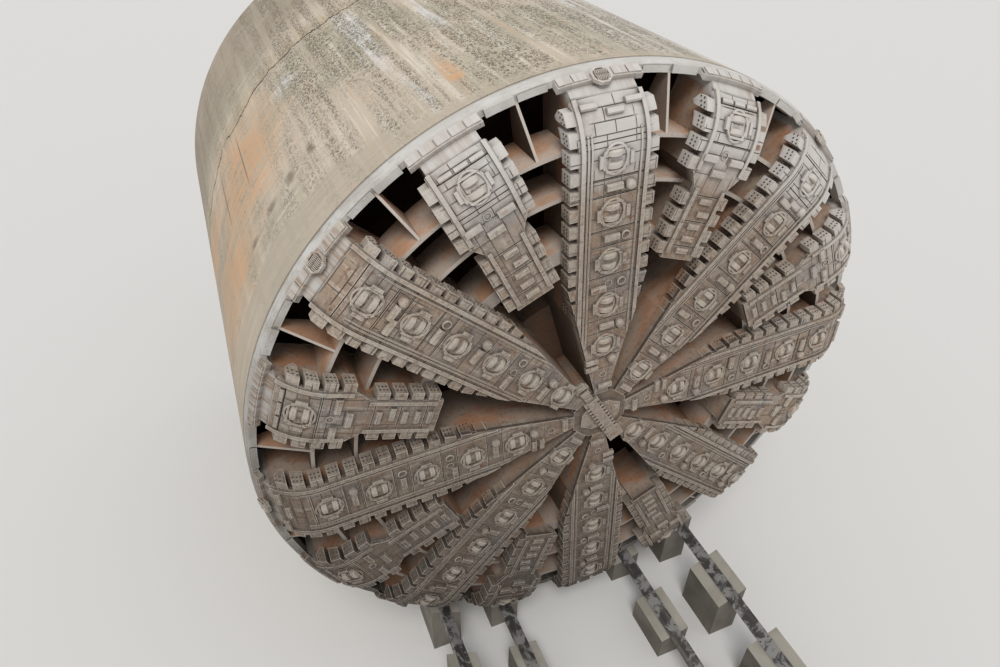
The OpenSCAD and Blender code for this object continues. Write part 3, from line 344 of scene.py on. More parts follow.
def makeRimMaterial():
    s = Sheet("scouredRim")
    across, along = armPlace(s)[1:3]
    x, y, z = s.axes()
    radius = (x * x + (z - machine["axisHeight"]) * (z - machine["axisHeight"])) ** 0.5
    blotch = s.noise(1.6, 5.0)
    fine = s.noise(11.0, 6.0, 0.65)
    brushed = s.noise(1.0, 5.0, 0.6, s.joined(across * 6.0, radius * 22.0, y * 9.0))
    colour = s.mix(blotch.between(0.35, 0.65), headLook["rimWhite"], rimLook["dull"])
    colour = s.coat(colour, brushed.between(0.52, 0.70), 0.5, rimLook["brushed"])
    colour = s.coat(colour, fine.between(0.58, 0.74), 0.5, rimLook["pits"])
    inner = 1 - radius.between(8.50, 8.585)
    colour = s.coat(colour, inner, 0.35, rimLook["innerLip"])
    seamGap = y.between(machine["skinFront"] - 0.09, machine["skinFront"] - 0.03)  # rusty gap before the skin
    colour = s.coat(colour, seamGap, 0.85, rimLook["gap"])
    # chalk, and painted shade towards the lower left
    colour = weatherAndShade(s, colour, along, 0.6)
    worn = s.edges(0.02) * (0.4 + fine.between(0.35, 0.6))
    colour = s.coat(colour, worn, 0.7, headLook["rimWhite"])
    # painted shade in the rim's corners
    near = s.occlusion(0.14)
    colour = s.coat(colour, (0.95 - near), 1.1, headLook["crevice"])
    return s.finish(colour, 0.6 + 0.3 * fine, s.bump(brushed * 0.4 + fine * 0.4 + blotch * 0.2, 0.6, 0.015))


innerLook = {
    "dust": (0.560, 0.440, 0.350),       # pinkish dust on the shelves
    "orange": (0.560, 0.315, 0.190),
    "edge": (0.520, 0.450, 0.390),       # their front edges
    # painted shade on undersides and in corners
    "under": (0.085, 0.058, 0.040),
    "chamber": (0.140, 0.085, 0.055),    # painted shade, with more rust, on the shelves towards the chamber
    "mud": (0.024, 0.0135, 0.0075),      # the chamber behind the head
}


def makeInnerPlateMaterial():
    s = Sheet("slurryStainedPlate")
    x, y, z = s.axes()
    ny, nz = s.facing()[1:]
    blotch = s.noise(0.9, 5.0)
    fine = s.noise(12.0, 6.0, 0.65)
    dust = s.mix(blotch.between(0.42, 0.60), innerLook["dust"], innerLook["orange"])
    # painted shade on the undersides; dust on the tops
    colour = s.mix(nz.between(-0.1, 0.5), innerLook["under"], dust)
    colour = s.mix((-ny).between(0.6, 0.9), colour, innerLook["edge"])
    back = (y - (machine["skinFront"] - 0.55)).between(0.0, 1.1)  # painted shade: darker towards the chamber
    colour = s.coat(colour, back, 0.75, innerLook["chamber"])
    colour = s.coat(colour, fine.between(0.55, 0.72), 0.45, headLook["crevice"])
    worn = s.edges(0.02) * (0.4 + fine.between(0.35, 0.6)) * (1 - back)
    colour = s.coat(colour, worn, 0.6, headLook["clayPale"])
    # painted shade in the corners
    near = s.occlusion(0.2)
    colour = s.coat(colour, (0.9 - near), 0.8, innerLook["under"])
    # painted shade: darker towards the lower left
    low = (0.10 - 0.04 * x - 0.06 * (z - machine["axisHeight"])).clamped()
    colour = s.mix(low, colour, headLook["damp"], "MULTIPLY")
    return s.finish(colour, 0.85 + 0.1 * fine, s.bump(blotch * 0.5 + fine * 0.3, 0.5, 0.02), gloss=0.2)


skinLook = {
    "base": (0.530, 0.445, 0.345),       # dried slurry coat
    "green": (0.430, 0.378, 0.285),
    "pale": (0.690, 0.620, 0.520),       # axial scrapes
    "white": (0.690, 0.670, 0.640),      # chalky smears; also painted light on one side of the skin
    "orange": (0.600, 0.330, 0.165),     # iron stains
    "dark": (0.110, 0.088, 0.064),       # pits
    "grey": (0.385, 0.335, 0.265),
    "band": (0.435, 0.370, 0.285),       # smoother band at the front edge
    "inside": (0.56, 0.55, 0.51),
    "weld": (0.20, 0.13, 0.085),
    "crumbs": (0.40, 0.31, 0.18),
    "crack": (0.055, 0.04, 0.028),
    "tail": (0.275, 0.225, 0.170),
    # painted shade towards the skin's underside
    "under": (0.25, 0.215, 0.17),
    "insideWorn": (0.34, 0.30, 0.25),
    "insideWeld": (0.24, 0.21, 0.175),
}

# marks on the skin: metres round from the top (left is below 0), Y, half length round, half length along
skinMarks = {
    "white": [(-3.93, 2.0, 0.34, 2.4), (-2.03, 0.8, 0.16, 1.5), (-3.65, -2.5, 0.13, 1.6), (-6.3, 2.6, 0.35, 0.5),
              (1.7, 1.2, 0.25, 1.8), (4.4, -0.6, 0.3, 1.5)],
    "orange": [(-8.6, 1.6, 1.5, 2.4), (-10.6, -1.2, 1.6, 1.7), (-2.9, -3.0, 0.16, 0.9), (7.8, 0.6, 1.6, 2.6),
               (-11.8, 2.6, 1.3, 1.1), (10.5, 3.0, 1.5, 1.2)],
    "spot": [(-7.15, -1.83, 0.13, 0.22), (-7.95, -1.93, 0.2, 0.16), (-6.37, -1.71, 0.1, 0.2), (-8.9, -2.1, 0.16, 0.13)],
    "seam": [(-8.47, 1.9, 0.028, 1.75), (-9.76, 2.1, 0.028, 1.6), (8.47, 1.9, 0.028, 1.75)],
}


def makeSkinMaterial():
    s = Sheet("slurryCoatedSkin")
    x, y, z = s.axes()
    z = z - machine["axisHeight"]
    radius = (x * x + z * z) ** 0.5
    round_ = x.angleOver(z) * machine["skinRadius"]
    flat = s.joined(round_, y)
    cover = s.noise(0.25, 4.0, 0.5, flat)
    medium = s.noise(1.7, 6.0, 0.6, flat, 0.4)
    rows = s.noise(1.0, 4.0, 0.55, s.joined(round_ * 1.6, y * 0.12))
    scrapes = s.noise(1.0, 5.0, 0.6, s.joined(round_ * 5.5, y * 0.22, 4.0))
    hairlines = s.noise(1.0, 3.0, 0.6, s.joined(round_ * 16.0, y * 0.3, 8.0))
    drips = s.noise(1.0, 5.0, 0.6, s.joined(round_ * 0.55, y * 4.2, 2.0))
    pits = s.noise(1.0, 4.0, 0.7, s.joined(round_ * 15.0, y * 8.5), 0.6)
    crumbs = s.noise(1.0, 5.0, 0.75, s.joined(round_ * 5.0, y * 3.6, 6.0), 1.2)
    ragged = (medium - 0.5) * 0.9

    def marks(kind, soft, rough):  # 1 inside the listed marks, with ragged edges
        covered = None
        for u, v, du, dv in skinMarks[kind]:
            away = (((round_ - u) / du) ** 2.0 + ((y - v) / dv) ** 2.0) ** 0.5 + ragged * rough
            here = 1 - away.between(1.0 - soft, 1.0 + soft)
            covered = here if covered is None else covered.most(here)
        return covered

    side = (abs(round_)).between(5.0, 7.6)     # where drips run down
    top = 1 - side
    colour = s.mix(cover.between(0.42, 0.62), skinLook["base"], skinLook["green"])
    lines = s.noise(1.0, 4.0, 0.7, s.joined(round_ * 11.0, y * 0.25, 12.0))
    colour = s.mix((scrapes.between(0.50, 0.66) * (0.25 + 0.45 * top)).clamped(), colour, skinLook["pale"])
    colour = s.coat(colour, lines.between(0.56, 0.66) * top, 0.6, skinLook["pale"])
    colour = s.coat(colour, drips.between(0.50, 0.70) * side, 0.55, skinLook["pale"])
    colour = s.coat(colour, drips.between(0.48, 0.36) * side, 0.5, skinLook["grey"])
    stain = (marks("orange", 0.8, 1.5) * (0.15 + drips.between(0.38, 0.58))).clamped()
    colour = s.mix(stain * 0.85, colour, skinLook["orange"])
    colour = s.coat(colour, hairlines.between(0.60, 0.66) * top, 0.55, skinLook["orange"])
    colour = s.coat(colour, marks("white", 0.7, 1.6) * scrapes.between(0.40, 0.56), 0.85, skinLook["white"])
    # painted light: the skin made paler from the top round to the right
    litPaleSide = round_.between(-0.5, 3.0) * (1 - round_.between(7.0, 9.0))
    colour = s.coat(colour, litPaleSide, 0.40, skinLook["white"])
    lowSide = abs(round_).between(9.5, 12.0)
    colour = s.mix((lowSide * 0.55 * cover.between(0.35, 0.6)).clamped(), colour, skinLook["grey"])
    fineRows = s.noise(1.0, 3.0, 0.6, s.joined(round_ * 3.2, y * 0.16, 9.0))
    coarse = (rows.between(0.32, 0.54) * (0.4 + 0.6 * top) * (0.25 + fineRows.between(0.38, 0.60))).clamped()
    # the band at the front edge: smooth, wider down the sides, with strokes round the skin
    bandEnd = machine["skinFront"] + 0.35 + 1.1 * (abs(round_)).between(3.2, 6.6) + (medium - 0.5) * 0.9
    band = 1 - (y - bandEnd).between(-0.15, 0.15)
    colour = s.coat(colour, band, 0.6, skinLook["band"])
    strokes = s.noise(1.0, 4.0, 0.6, s.joined(round_ * 0.4, y * 9.0, 5.0))
    colour = s.mix((strokes.between(0.45, 0.65) * (band * 0.4 + side * 0.3)).clamped(), colour, skinLook["grey"])
    rough = 1 - band * 0.75
    cells = s.add("ShaderNodeTexVoronoi", {"voronoi_dimensions": "2D"},
                  {"Vector": s.joined(round_ * 11.0, y * 6.5), "Scale": 1.0, "Randomness": 1.0})["Distance"]
    small = s.add("ShaderNodeTexVoronoi", {"voronoi_dimensions": "2D"},
                  {"Vector": s.joined(round_ * 27.0, y * 16.0), "Scale": 1.0, "Randomness": 1.0})["Distance"]
    pit = (1 - (cells + (pits - 0.5) * 1.6).between(0.20, 0.36)) * crumbs.between(0.44, 0.56)
    grit = (1 - (small + (pits - 0.5) * 1.2).between(0.22, 0.42)) * medium.between(0.36, 0.54)
    flecks = ((pit.most(grit * 0.75)) * coarse * rough * (1 - stain * 0.8)).clamped()
    scales = (crumbs.between(0.54, 0.64) * coarse * rough * (1 - pit)).clamped()
    colour = s.coat(colour, scales, 0.35, skinLook["pale"])
    colour = s.coat(colour, coarse, 0.25, skinLook["green"])
    colour = s.mix(flecks * 0.72, colour, skinLook["dark"])
    colour = s.coat(colour, marks("spot", 0.7, 1.8), 0.6, skinLook["dark"])
    colour = s.coat(colour, marks("seam", 0.4, 0.5), 0.75, skinLook["weld"])
    # cracked joint between the two skins, crumbly on the tail's side
    jag = s.noise(1.0, 6.0, 0.62, s.joined(round_ * 0.75, y * 0.3, 3.0))
    beyond = y - machine["skinJoint"] - 0.16 + (jag - 0.5) * 1.5 + (crumbs - 0.5) * 0.16
    crack = abs(beyond)
    crumbly = beyond.between(-0.15, 0.05) * (1 - beyond.between(0.5, 1.1)) * crumbs.between(0.42, 0.6)
    colour = s.coat(colour, crumbly, 0.55, skinLook["crumbs"])
    joint = (1 - crack.between(0.012, 0.05)) * jag.between(0.30, 0.42)
    colour = s.coat(colour, joint, 0.9, skinLook["crack"])
    tail = y.between(4.4, 8.0)
    colour = s.coat(colour, tail, 0.6, skinLook["tail"])
    # painted shade: the skin darker towards its underside
    under = (-z / machine["skinRadius"]).between(0.25, 0.9)
    colour = s.coat(colour, under, 0.4, skinLook["under"])
    # inner faces: mud before the bulkhead, paint behind it
    inner = 1 - radius.between(*machine["skinInside"])
    lining = s.mix((s.noise(1.1, 5.0).between(0.45, 0.62) * 0.4).clamped(), skinLook["inside"], skinLook["insideWorn"])
    welds = (1 - abs(((y + 0.35) / 1.95).fraction() - 0.5).between(0.004, 0.011)).most(
        1 - abs((round_ / 4.607).fraction() - 0.5).between(0.0022, 0.0050))
    lining = s.coat(lining, welds, 0.55, skinLook["insideWeld"])
    lining = s.mix(1 - y.between(*machine["mudLine"]), lining, innerLook["mud"])
    colour = s.mix(inner, colour, lining)
    height = flecks * -0.9 + crumbs * coarse * rough * 0.7 + scrapes * 0.25 + medium * 0.3 - joint * 1.5
    return s.finish(colour, 0.80 + 0.18 * medium, s.bump(height, 0.9, 0.035), gloss=0.12)


concreteLook = {
    "sideDark": (0.120, 0.105, 0.085),
    "side": (0.19, 0.170, 0.138),
    "runs": (0.135, 0.118, 0.095),
    "top": (0.33, 0.30, 0.25),
    "topDark": (0.25, 0.225, 0.185),
    "grit": (0.2, 0.175, 0.14),
    "corner": (0.16, 0.135, 0.105),
}


def makeConcreteMaterial():
    s = Sheet("castConcrete")
    nz = s.facing()[2]
    blotch = s.noise(0.8, 5.0)
    fine = s.noise(16.0, 6.0, 0.7)
    runs = s.noise(1.0, 4.0, 0.6, s.stretched((2.5, 2.5, 0.35)))
    topFace = nz.between(0.5, 0.8)
    side = s.mix(blotch.between(0.35, 0.65), concreteLook["sideDark"], concreteLook["side"])
    side = s.coat(side, runs.between(0.50, 0.66), 0.5, concreteLook["runs"])
    topColour = s.mix(blotch.between(0.40, 0.64), concreteLook["top"], concreteLook["topDark"])
    colour = s.mix(topFace, side, topColour)
    colour = s.coat(colour, fine.between(0.58, 0.72), 0.4, concreteLook["grit"])
    # painted shade in the corners
    near = s.occlusion(0.25)
    colour = s.coat(colour, (1 - near), 0.7, concreteLook["corner"])
    return s.finish(colour, 0.9, s.bump(fine * 0.6 + blotch * 0.4, 0.4, 0.012))


railLook = {
    "grease": (0.050, 0.046, 0.044),
    "steel": (0.245, 0.235, 0.225),
    "slides": (0.20, 0.175, 0.145),
    "rust": (0.09, 0.055, 0.04),
}


def makeRailMaterial():
    s = Sheet("greasedRail")
    blotch = s.noise(2.3, 6.0, 0.65, distort=0.6)
    fine = s.noise(20.0, 5.0, 0.7)
    slides = s.noise(1.0, 4.0, 0.6, s.stretched((9.0, 0.5, 9.0)))
    colour = s.mix(blotch.between(0.46, 0.56), railLook["grease"], railLook["steel"])
    colour = s.coat(colour, slides.between(0.5, 0.66), 0.5, railLook["slides"])
    colour = s.coat(colour, fine.between(0.56, 0.70), 0.4, railLook["rust"])
    return s.finish(colour, 0.34 + 0.4 * blotch, s.bump(blotch * 0.5 + fine * 0.3, 0.4, 0.01), 0.35)


bulkheadLook = {
    "paint": (0.60, 0.595, 0.56),
    "worn": (0.34, 0.30, 0.25),
    "chips": (0.14, 0.10, 0.075),
    "mudPale": (0.050, 0.028, 0.016),
}


def makeBulkheadMaterial():
    s = Sheet("bulkheadPaint")
    y = s.axes()[1]
    blotch = s.noise(0.9, 5.0)
    fine = s.noise(12.0, 6.0, 0.6)
    paint = s.mix((blotch.between(0.45, 0.68) * 0.45).clamped(), bulkheadLook["paint"], bulkheadLook["worn"])
    paint = s.coat(paint, fine.between(0.62, 0.76), 0.4, bulkheadLook["chips"])
    mud = s.mix(blotch.between(0.44, 0.64), innerLook["mud"], bulkheadLook["mudPale"])
    front = 1 - y.between(*machine["mudLine"])
    colour = s.mix(1 - front, mud, paint)
    return s.finish(colour, 0.65 + 0.2 * fine + 0.2 * front, s.bump(fine * 0.5 + blotch * 0.5, 0.3, 0.01), gloss=0.0)


metalPits = (0.06, 0.05, 0.045)


def makeSteelMaterial(name, colour, worn, roughness=0.45, metallic=0.7, scale=3.0):
    s = Sheet(name)
    medium = s.noise(scale, 5.0)
    fine = s.noise(scale * 9.0, 5.0, 0.65)
    tint = s.mix(medium.between(0.4, 0.62), colour, worn)
    tint = s.coat(tint, fine.between(0.58, 0.74), 0.4, metalPits)
    return s.finish(tint, roughness + 0.2 * medium, s.bump(fine, 0.2, 0.006), metallic)


paintGrimeAndShade = {
    "worn": (0.30, 0.26, 0.21),
    "dust": (0.42, 0.38, 0.32),
    "chips": (0.12, 0.09, 0.07),
    "corner": (0.07, 0.055, 0.045),
}


def makePaintMaterial(name, colour, grimeAndShade=0.35):
    s = Sheet(name)
    medium = s.noise(1.1, 5.0)
    fine = s.noise(12.0, 6.0, 0.6)
    nz = s.facing()[2]
    tint = s.mix((medium.between(0.45, 0.7) * grimeAndShade).clamped(), colour, paintGrimeAndShade["worn"])
    tint = s.mix((nz.between(0.4, 0.9) * grimeAndShade).clamped(), tint, paintGrimeAndShade["dust"])  # dust that settles on top
    tint = s.mix((fine.between(0.62, 0.76) * grimeAndShade).clamped(), tint, paintGrimeAndShade["chips"])
    # painted shade in the corners
    near = s.occlusion(0.12)
    tint = s.mix(((1 - near) * grimeAndShade).clamped(), tint, paintGrimeAndShade["corner"])
    return s.finish(tint, 0.42 + 0.25 * fine, s.bump(fine, 0.12, 0.004))


sealLook = {
    "between": (0.030, 0.027, 0.024),
    "wire": (0.19, 0.175, 0.155),
    "clump": (0.045, 0.036, 0.028),
    "grease": (0.028, 0.020, 0.013),
}


def makeSealMaterial():  # wire brushes: fine wires that lie back along the skin, in clumps, greased
    s = Sheet("sealBrush")
    x, y, z = s.axes()
    z = z - machine["axisHeight"]
    round_ = x.angleOver(z) * machine["skinRadius"]
    wires = s.noise(1.0, 3.0, 0.7, s.joined(round_ * 90.0, y * 3.0))
    clumps = s.noise(1.0, 4.0, 0.6, s.joined(round_ * 9.0, y * 1.5, 3.0))
    grease = s.noise(2.2, 5.0, 0.6)
    colour = s.mix(wires.between(0.38, 0.62), sealLook["between"], sealLook["wire"])
    colour = s.coat(colour, clumps.between(0.52, 0.66), 0.6, sealLook["clump"])
    colour = s.coat(colour, grease.between(0.52, 0.64), 0.6, sealLook["grease"])
    return s.finish(colour, 0.35 + 0.5 * wires, s.bump(wires * 0.7 + clumps * 0.5, 0.8, 0.01), 0.3)


noEdge = 2.0  # half width of a piece without teeth, wider than it is

finishes = {
    "head_steel": makeHeadMaterial("cakedMainArm", head["mainEdge"], head["mainEdge"]),
    "rim_steel": makeRimMaterial(),
    "inner_plate": makeInnerPlateMaterial(),
    "cutter_steel": makeHeadMaterial("cutterSteel", noEdge, noEdge, paleness=0.3),
    "skin_steel": makeSkinMaterial(),
    "inner_paint": makePaintMaterial("palePaint", (0.62, 0.62, 0.58)),
    "machine_blue": makePaintMaterial("motorBlue", (0.035, 0.09, 0.16)),
    "frame_grey": makePaintMaterial("frameGrey", (0.20, 0.21, 0.21)),
    "rod_chrome": makeSteelMaterial("rodChrome", (0.62, 0.62, 0.63), (0.5, 0.5, 0.5), 0.15, 1.0),
    "erector_yellow": makePaintMaterial("erectorYellow", (0.62, 0.36, 0.03)),
    "pipe_steel": makePaintMaterial("pipePrimer", (0.20, 0.09, 0.055)),
    "seal_wire": makeSealMaterial(),
    "rail_steel": makeRailMaterial(),
    "concrete": makeConcreteMaterial(),
    "auxArm": makeHeadMaterial("cakedAuxiliaryArm", head["neckEdge"], head["headEdge"]),
    "hub": makeHeadMaterial("cakedHub", noEdge, noEdge),
    "bulkhead": makeBulkheadMaterial(),
    "pad": makeSteelMaterial("blackRubber", (0.018, 0.017, 0.016), (0.045, 0.042, 0.038), 0.75, 0.0, 5.0),
    "stud": makeSteelMaterial("boltSteel", (0.055, 0.040, 0.030), (0.110, 0.080, 0.058), 0.5, 0.3),
}

ownFinish = {f"aux_arm_{k}": "auxArm" for k in range(1, 9)}
ownFinish.update({"head_hub": "hub", "pressure_bulkhead": "bulkhead", "drive_housing": "bulkhead"})

slotOf = {part["node"]: part["material_slot"] for part in frame["record"]["subparts"]}
for name, piece in frame["nodes"].items():
    piece.data.materials.clear()
    piece.data.materials.append(finishes[ownFinish.get(name, slotOf[name])])
print("finishes set")


# small repeated parts, worked out as numpy arrays

def revolvedShape(profile, sides):  # (radius, height) pairs, both ends on the axis, turned round the height
    radii, heights = np.array(profile, float).T
    count = len(radii) - 2
    around = np.arange(sides) * 2 * np.pi / sides
    rings = np.stack([np.outer(radii[1:-1], np.cos(around)), np.outer(radii[1:-1], np.sin(around)),
                      np.repeat(heights[1:-1, None], sides, 1)], -1).reshape(-1, 3)
    points = np.vstack([[[0, 0, heights[0]]], rings, [[0, 0, heights[-1]]]])
    i = np.arange(sides)
    j = (i + 1) % sides
    last = 1 + (count - 1) * sides
    ends = np.vstack([np.stack([0 * i, 1 + j, 1 + i], -1), np.stack([last + i, last + j, 0 * i + len(points) - 1], -1)])
    low = 1 + np.arange(count - 1)[:, None] * sides
    sideFaces = np.stack([low + i, low + j, low + sides + j, low + sides + i], -1).reshape(-1, 4)
    return points, ends, sideFaces


def pillowShape(count):  # a square sheet from -1 to 1 and its flat underside, joined round the edge
    line = np.linspace(-1, 1, count)
    u, v = (g.ravel() for g in np.meshgrid(line, line, indexing="ij"))
    points = np.vstack([np.stack([u, v, 0 * u], -1), np.stack([u, v, 0 * u - 1], -1)])
    a = (np.arange(count - 1)[:, None] * count + np.arange(count - 1)).ravel()
    top = np.stack([a, a + count, a + count + 1, a + 1], -1)
    under = top[:, ::-1] + count * count
    e = np.arange(count - 1)
    rim = np.concatenate([e * count, (count - 1) * count + e, (count - 1 - e) * count + count - 1, count - 1 - e])
    after = np.roll(rim, -1)
    wall = np.stack([after, rim, rim + count * count, after + count * count], -1)
    return points, np.zeros((0, 3), int), np.vstack([top, under, wall])


def makePiece(name, points, triangles, quads, finish, body, smooth=False):
    mesh = bpy.data.meshes.new(name)
    mesh.from_pydata(points.tolist(), [], triangles.tolist() + quads.tolist())
    mesh.polygons.foreach_set("use_smooth", np.full(len(mesh.polygons), smooth))
    mesh.update()
    piece = bpy.data.objects.new(name, mesh)
    bpy.context.scene.collection.objects.link(piece)
    mesh.materials.append(finishes[finish])
    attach(piece, body)
    return piece


def placeCopies(name, shape, at, right, up, finish, body, slot, size=(1, 1, 1), smooth=False):
    points, triangles, quads = shape  # x along right, y along up, z along right x up
    at = np.asarray(at, float).reshape(-1, 3)
    right, up = (np.broadcast_to(np.asarray(v, float), at.shape) for v in (right, up))
    local = points * np.asarray(size, float)
    where = (at[:, None] + local[:, :1] * right[:, None] + local[:, 1:2] * up[:, None]
             + local[:, 2:] * np.cross(right, up)[:, None])
    shift = np.arange(len(at))[:, None, None] * len(points)
    return makePiece(name, where.reshape(-1, 3), (triangles + shift).reshape(-1, 3),
                     (quads + shift).reshape(-1, 4), finish, body, smooth)


def turnedWithArm(across, along, height, angle):  # a direction of the arm's axes in the frame's axes
    a = np.radians(angle)
    return np.stack(np.broadcast_arrays(across * np.cos(a) + along * np.sin(a), -height,
                                        along * np.cos(a) - across * np.sin(a)), -1)


def onHead(across, along, height, angle):  # the same for a place, from the skin's front edge and the axis
    return turnedWithArm(across, along, height, angle) + [0, machine["skinFront"], machine["axisHeight"]]


def faceAngle(s):  # how far round the edge's rounding a distance along an arm is
    return np.maximum(s - head["flatRadius"], 0) / head["edgeRound"]


def onFace(s, across, lift, angle, shift=0.0):  # place at a distance along an arm and a height above its face
    a = faceAngle(s)
    along = np.minimum(s, head["flatRadius"]) + (head["edgeRound"] + lift) * np.sin(a) + shift * np.cos(a)
    height = machine["faceFront"] - head["edgeRound"] + (head["edgeRound"] + lift) * np.cos(a) - shift * np.sin(a)
    return onHead(across, along, height, angle)


mainAngles = head["turn"] + 2 * head["armStep"] * np.arange(8)
auxAngles = mainAngles + head["armStep"]
bolt = {"radius": 0.024, "sunk": 0.004, "height": 0.012, "bevel": 0.006}
hexHead = revolvedShape([(0, -bolt["sunk"]), (bolt["radius"], -bolt["sunk"]),
                         (bolt["radius"], bolt["height"] - bolt["bevel"]),
                         (bolt["radius"] - bolt["bevel"], bolt["height"]), (0, bolt["height"])], 6)
noTriangles = np.zeros((0, 3), int)


def ringQuads(rings, count):  # faces of a closed section of some points, carried round a closed path
    i = np.arange(rings)[:, None] * count
    after = (i + count) % (rings * count)
    k = np.arange(count)
    n = (k + 1) % count
    return np.stack([i + k, i + n, after + n, after + k], -1).reshape(-1, 4)


# two rows of three bolts in the outer side of each scraper tooth
toothRow = {"mainFirst": 3.71, "neckFirst": 4.94, "neckLast": 6.36, "headFirst": 6.95, "lastAngle": 46, "pitch": 0.405,
            "reach": 0.20, "boltsAlong": (-0.085, 0.0, 0.085), "boltsDeep": (0.085, 0.205)}

def makeToothBolts():
    flat = head["flatRadius"]
    last = flat + head["edgeRound"] * math.radians(toothRow["lastAngle"])
    pitch = toothRow["pitch"]
    rows = [(mainAngles, np.arange(toothRow["mainFirst"], last, pitch), head["mainEdge"]),
            (auxAngles, np.arange(toothRow["neckFirst"], toothRow["neckLast"], pitch), head["neckEdge"]),
            (auxAngles, np.arange(toothRow["headFirst"], last, pitch), head["headEdge"])]
    places, ups = [], []
    for angles, s, edge in rows:
        angle, s, side, shift, depth = (g.ravel() for g in np.meshgrid(
            angles, s, [-1.0, 1.0], toothRow["boltsAlong"], toothRow["boltsDeep"], indexing="ij"))
        along = np.where(s < flat, s, flat + head["edgeRound"] * np.sin(faceAngle(s))) + shift
        over = np.maximum(along - flat, 0)
        height = machine["faceFront"] - head["edgeRound"] + np.sqrt(head["edgeRound"] ** 2 - over ** 2) - depth
        places.append(onHead(side * (edge + toothRow["reach"]), along, height, angle))
        ups.append(np.stack([turnedWithArm(0.0, 1.0, 0.0, angle), turnedWithArm(0.0, 0.0, side, angle)]))
    ups = np.concatenate(ups, 1)
    placeCopies("tooth_bolts", hexHead, np.vstack(places), ups[0], ups[1], "stud", "cutterhead", "cutter_steel")


# ribs on the gauge rollers in the window at each main arm's end
roller = {"angle": 64.0, "lift": 0.110, "spacing": 0.070, "ribs": 8, "ribPitch": 0.036, "radius": 0.086, "half": 0.010,
          "bevel": 0.006, "crown": 0.4, "coreRadius": 0.0785, "coreHalf": 0.145}

def makeRollerRibs():
    crown = roller["crown"] * roller["half"]
    rib = revolvedShape([(0, -roller["half"]), (roller["radius"] - roller["bevel"], -roller["half"]),
                         (roller["radius"], -crown), (roller["radius"], crown),
                         (roller["radius"] - roller["bevel"], roller["half"]), (0, roller["half"])], 12)
    across = (np.arange(roller["ribs"]) - (roller["ribs"] - 1) / 2) * roller["ribPitch"]
    angle, across, shift = (g.ravel() for g in np.meshgrid(mainAngles, across, [-roller["spacing"], roller["spacing"]],
                                                           indexing="ij"))
    s = head["flatRadius"] + head["edgeRound"] * math.radians(roller["angle"])
    a = np.radians(roller["angle"])
    right = turnedWithArm(0.0, math.cos(a), -math.sin(a), angle)
    up = turnedWithArm(0.0, math.sin(a), math.cos(a), angle)
    places = onFace(s, across, roller["lift"], angle, shift)
    placeCopies("roller_ribs", rib, places, right, up, "cutter_steel", "cutterhead", "cutter_steel")
    core = revolvedShape([(0, -roller["coreHalf"]), (roller["coreRadius"], -roller["coreHalf"]),
                          (roller["coreRadius"], roller["coreHalf"]), (0, roller["coreHalf"])], 16)
    middle = np.abs(across - across.min()) < 1e-6
    places = onFace(s, 0 * across, roller["lift"], angle, shift)[middle]
    placeCopies("roller_cores", core, places, right[middle], up[middle], "stud", "cutterhead", "cutter_steel")


# distances of the disc cutters along the arms: first and end of the odd and the even main arms, and the auxiliary ones
cutterRow = {"odd": (2.40, 7.3), "even": (1.60, 7.7), "aux": 7.87}

def cutterPlaces():  # arm angle and distance along the arm of every disc cutter
    odd, even = (np.arange(*cutterRow[k], headSeams["pitch"]) for k in ("odd", "even"))
    arms = [(mainAngles[0::2], odd), (mainAngles[1::2], even), (auxAngles, np.array([cutterRow["aux"]]))]
    grids = [np.meshgrid(angles, s, indexing="ij") for angles, s in arms]
    return (np.concatenate([g[k].ravel() for g in grids])[:, None] for k in (0, 1))


# an oval weld bead round each cutter, its section carried round an ellipse
collar = {"halfAcross": 0.275, "halfAlong": 0.322, "around": 36, "lift": 0.022,
          "section": [(-0.030, 0.0), (-0.026, 0.038), (-0.008, 0.052), (0.010, 0.050), (0.026, 0.034), (0.030, 0.0)]}

def makeCollars():
    angle, s = cutterPlaces()
    wide, tall = np.array(collar["section"]).T
    around = np.arange(collar["around"]) * 2 * np.pi / collar["around"]
    across = (np.outer(np.cos(around), collar["halfAcross"] + wide)).ravel()
    shift = (np.outer(np.sin(around), collar["halfAlong"] + wide)).ravel()
    where = onFace(s + shift, across, collar["lift"] + np.tile(tall, len(around)), angle)
    move = np.arange(len(s))[:, None, None] * len(across)
    quads = (ringQuads(collar["around"], len(wide)) + move).reshape(-1, 4)
    makePiece("cutter_collars", where.reshape(-1, 3), noTriangles, quads, "head_steel", "cutterhead",
              True)


# clay caked round the disc cutters in their pockets
clay = {"halfAcross": 0.262, "halfAlong": 0.236, "level": 0.012, "lumps": 0.030, "deep": 0.22, "count": 11}

def makeCakedClay():  # a square sheet lifted by three products of sines of falling size, level at its edge
    angle, s = cutterPlaces()
    points, triangles, quads = pillowShape(clay["count"])
    u, v, isUnder = points[:, 0], points[:, 1], points[:, 2] < -0.5
    seed = angle * 0.7 + s * 3.1
    lumps = (np.sin(5.1 * u + seed) * np.sin(4.3 * v + 1.7 * seed) + 0.6 * np.sin(9.7 * u - 2.3 * seed)
             * np.sin(8.9 * v + 0.9 * seed) + 0.35 * np.sin(17.0 * u + seed) * np.sin(15.0 * v - seed))
    edge = np.maximum(abs(u), abs(v)) ** 6
    lift = clay["level"] + clay["lumps"] * (0.6 * lumps + 0.3) * (1 - edge)
    lift = np.where(isUnder, -clay["deep"], lift)
    where = onFace(s, clay["halfAcross"] * u + 0 * lift, lift, angle, clay["halfAlong"] * v)
    move = np.arange(len(s))[:, None, None] * len(points)
    makePiece("caked_clay", where.reshape(-1, 3), triangles, (quads + move).reshape(-1, 4), "hub", "cutterhead",
              True)


# dried slurry that fills the joint between the two skins, a flat section carried round
filler = {"inner": 8.765, "outer": 8.797, "margin": 0.001, "sides": 512}

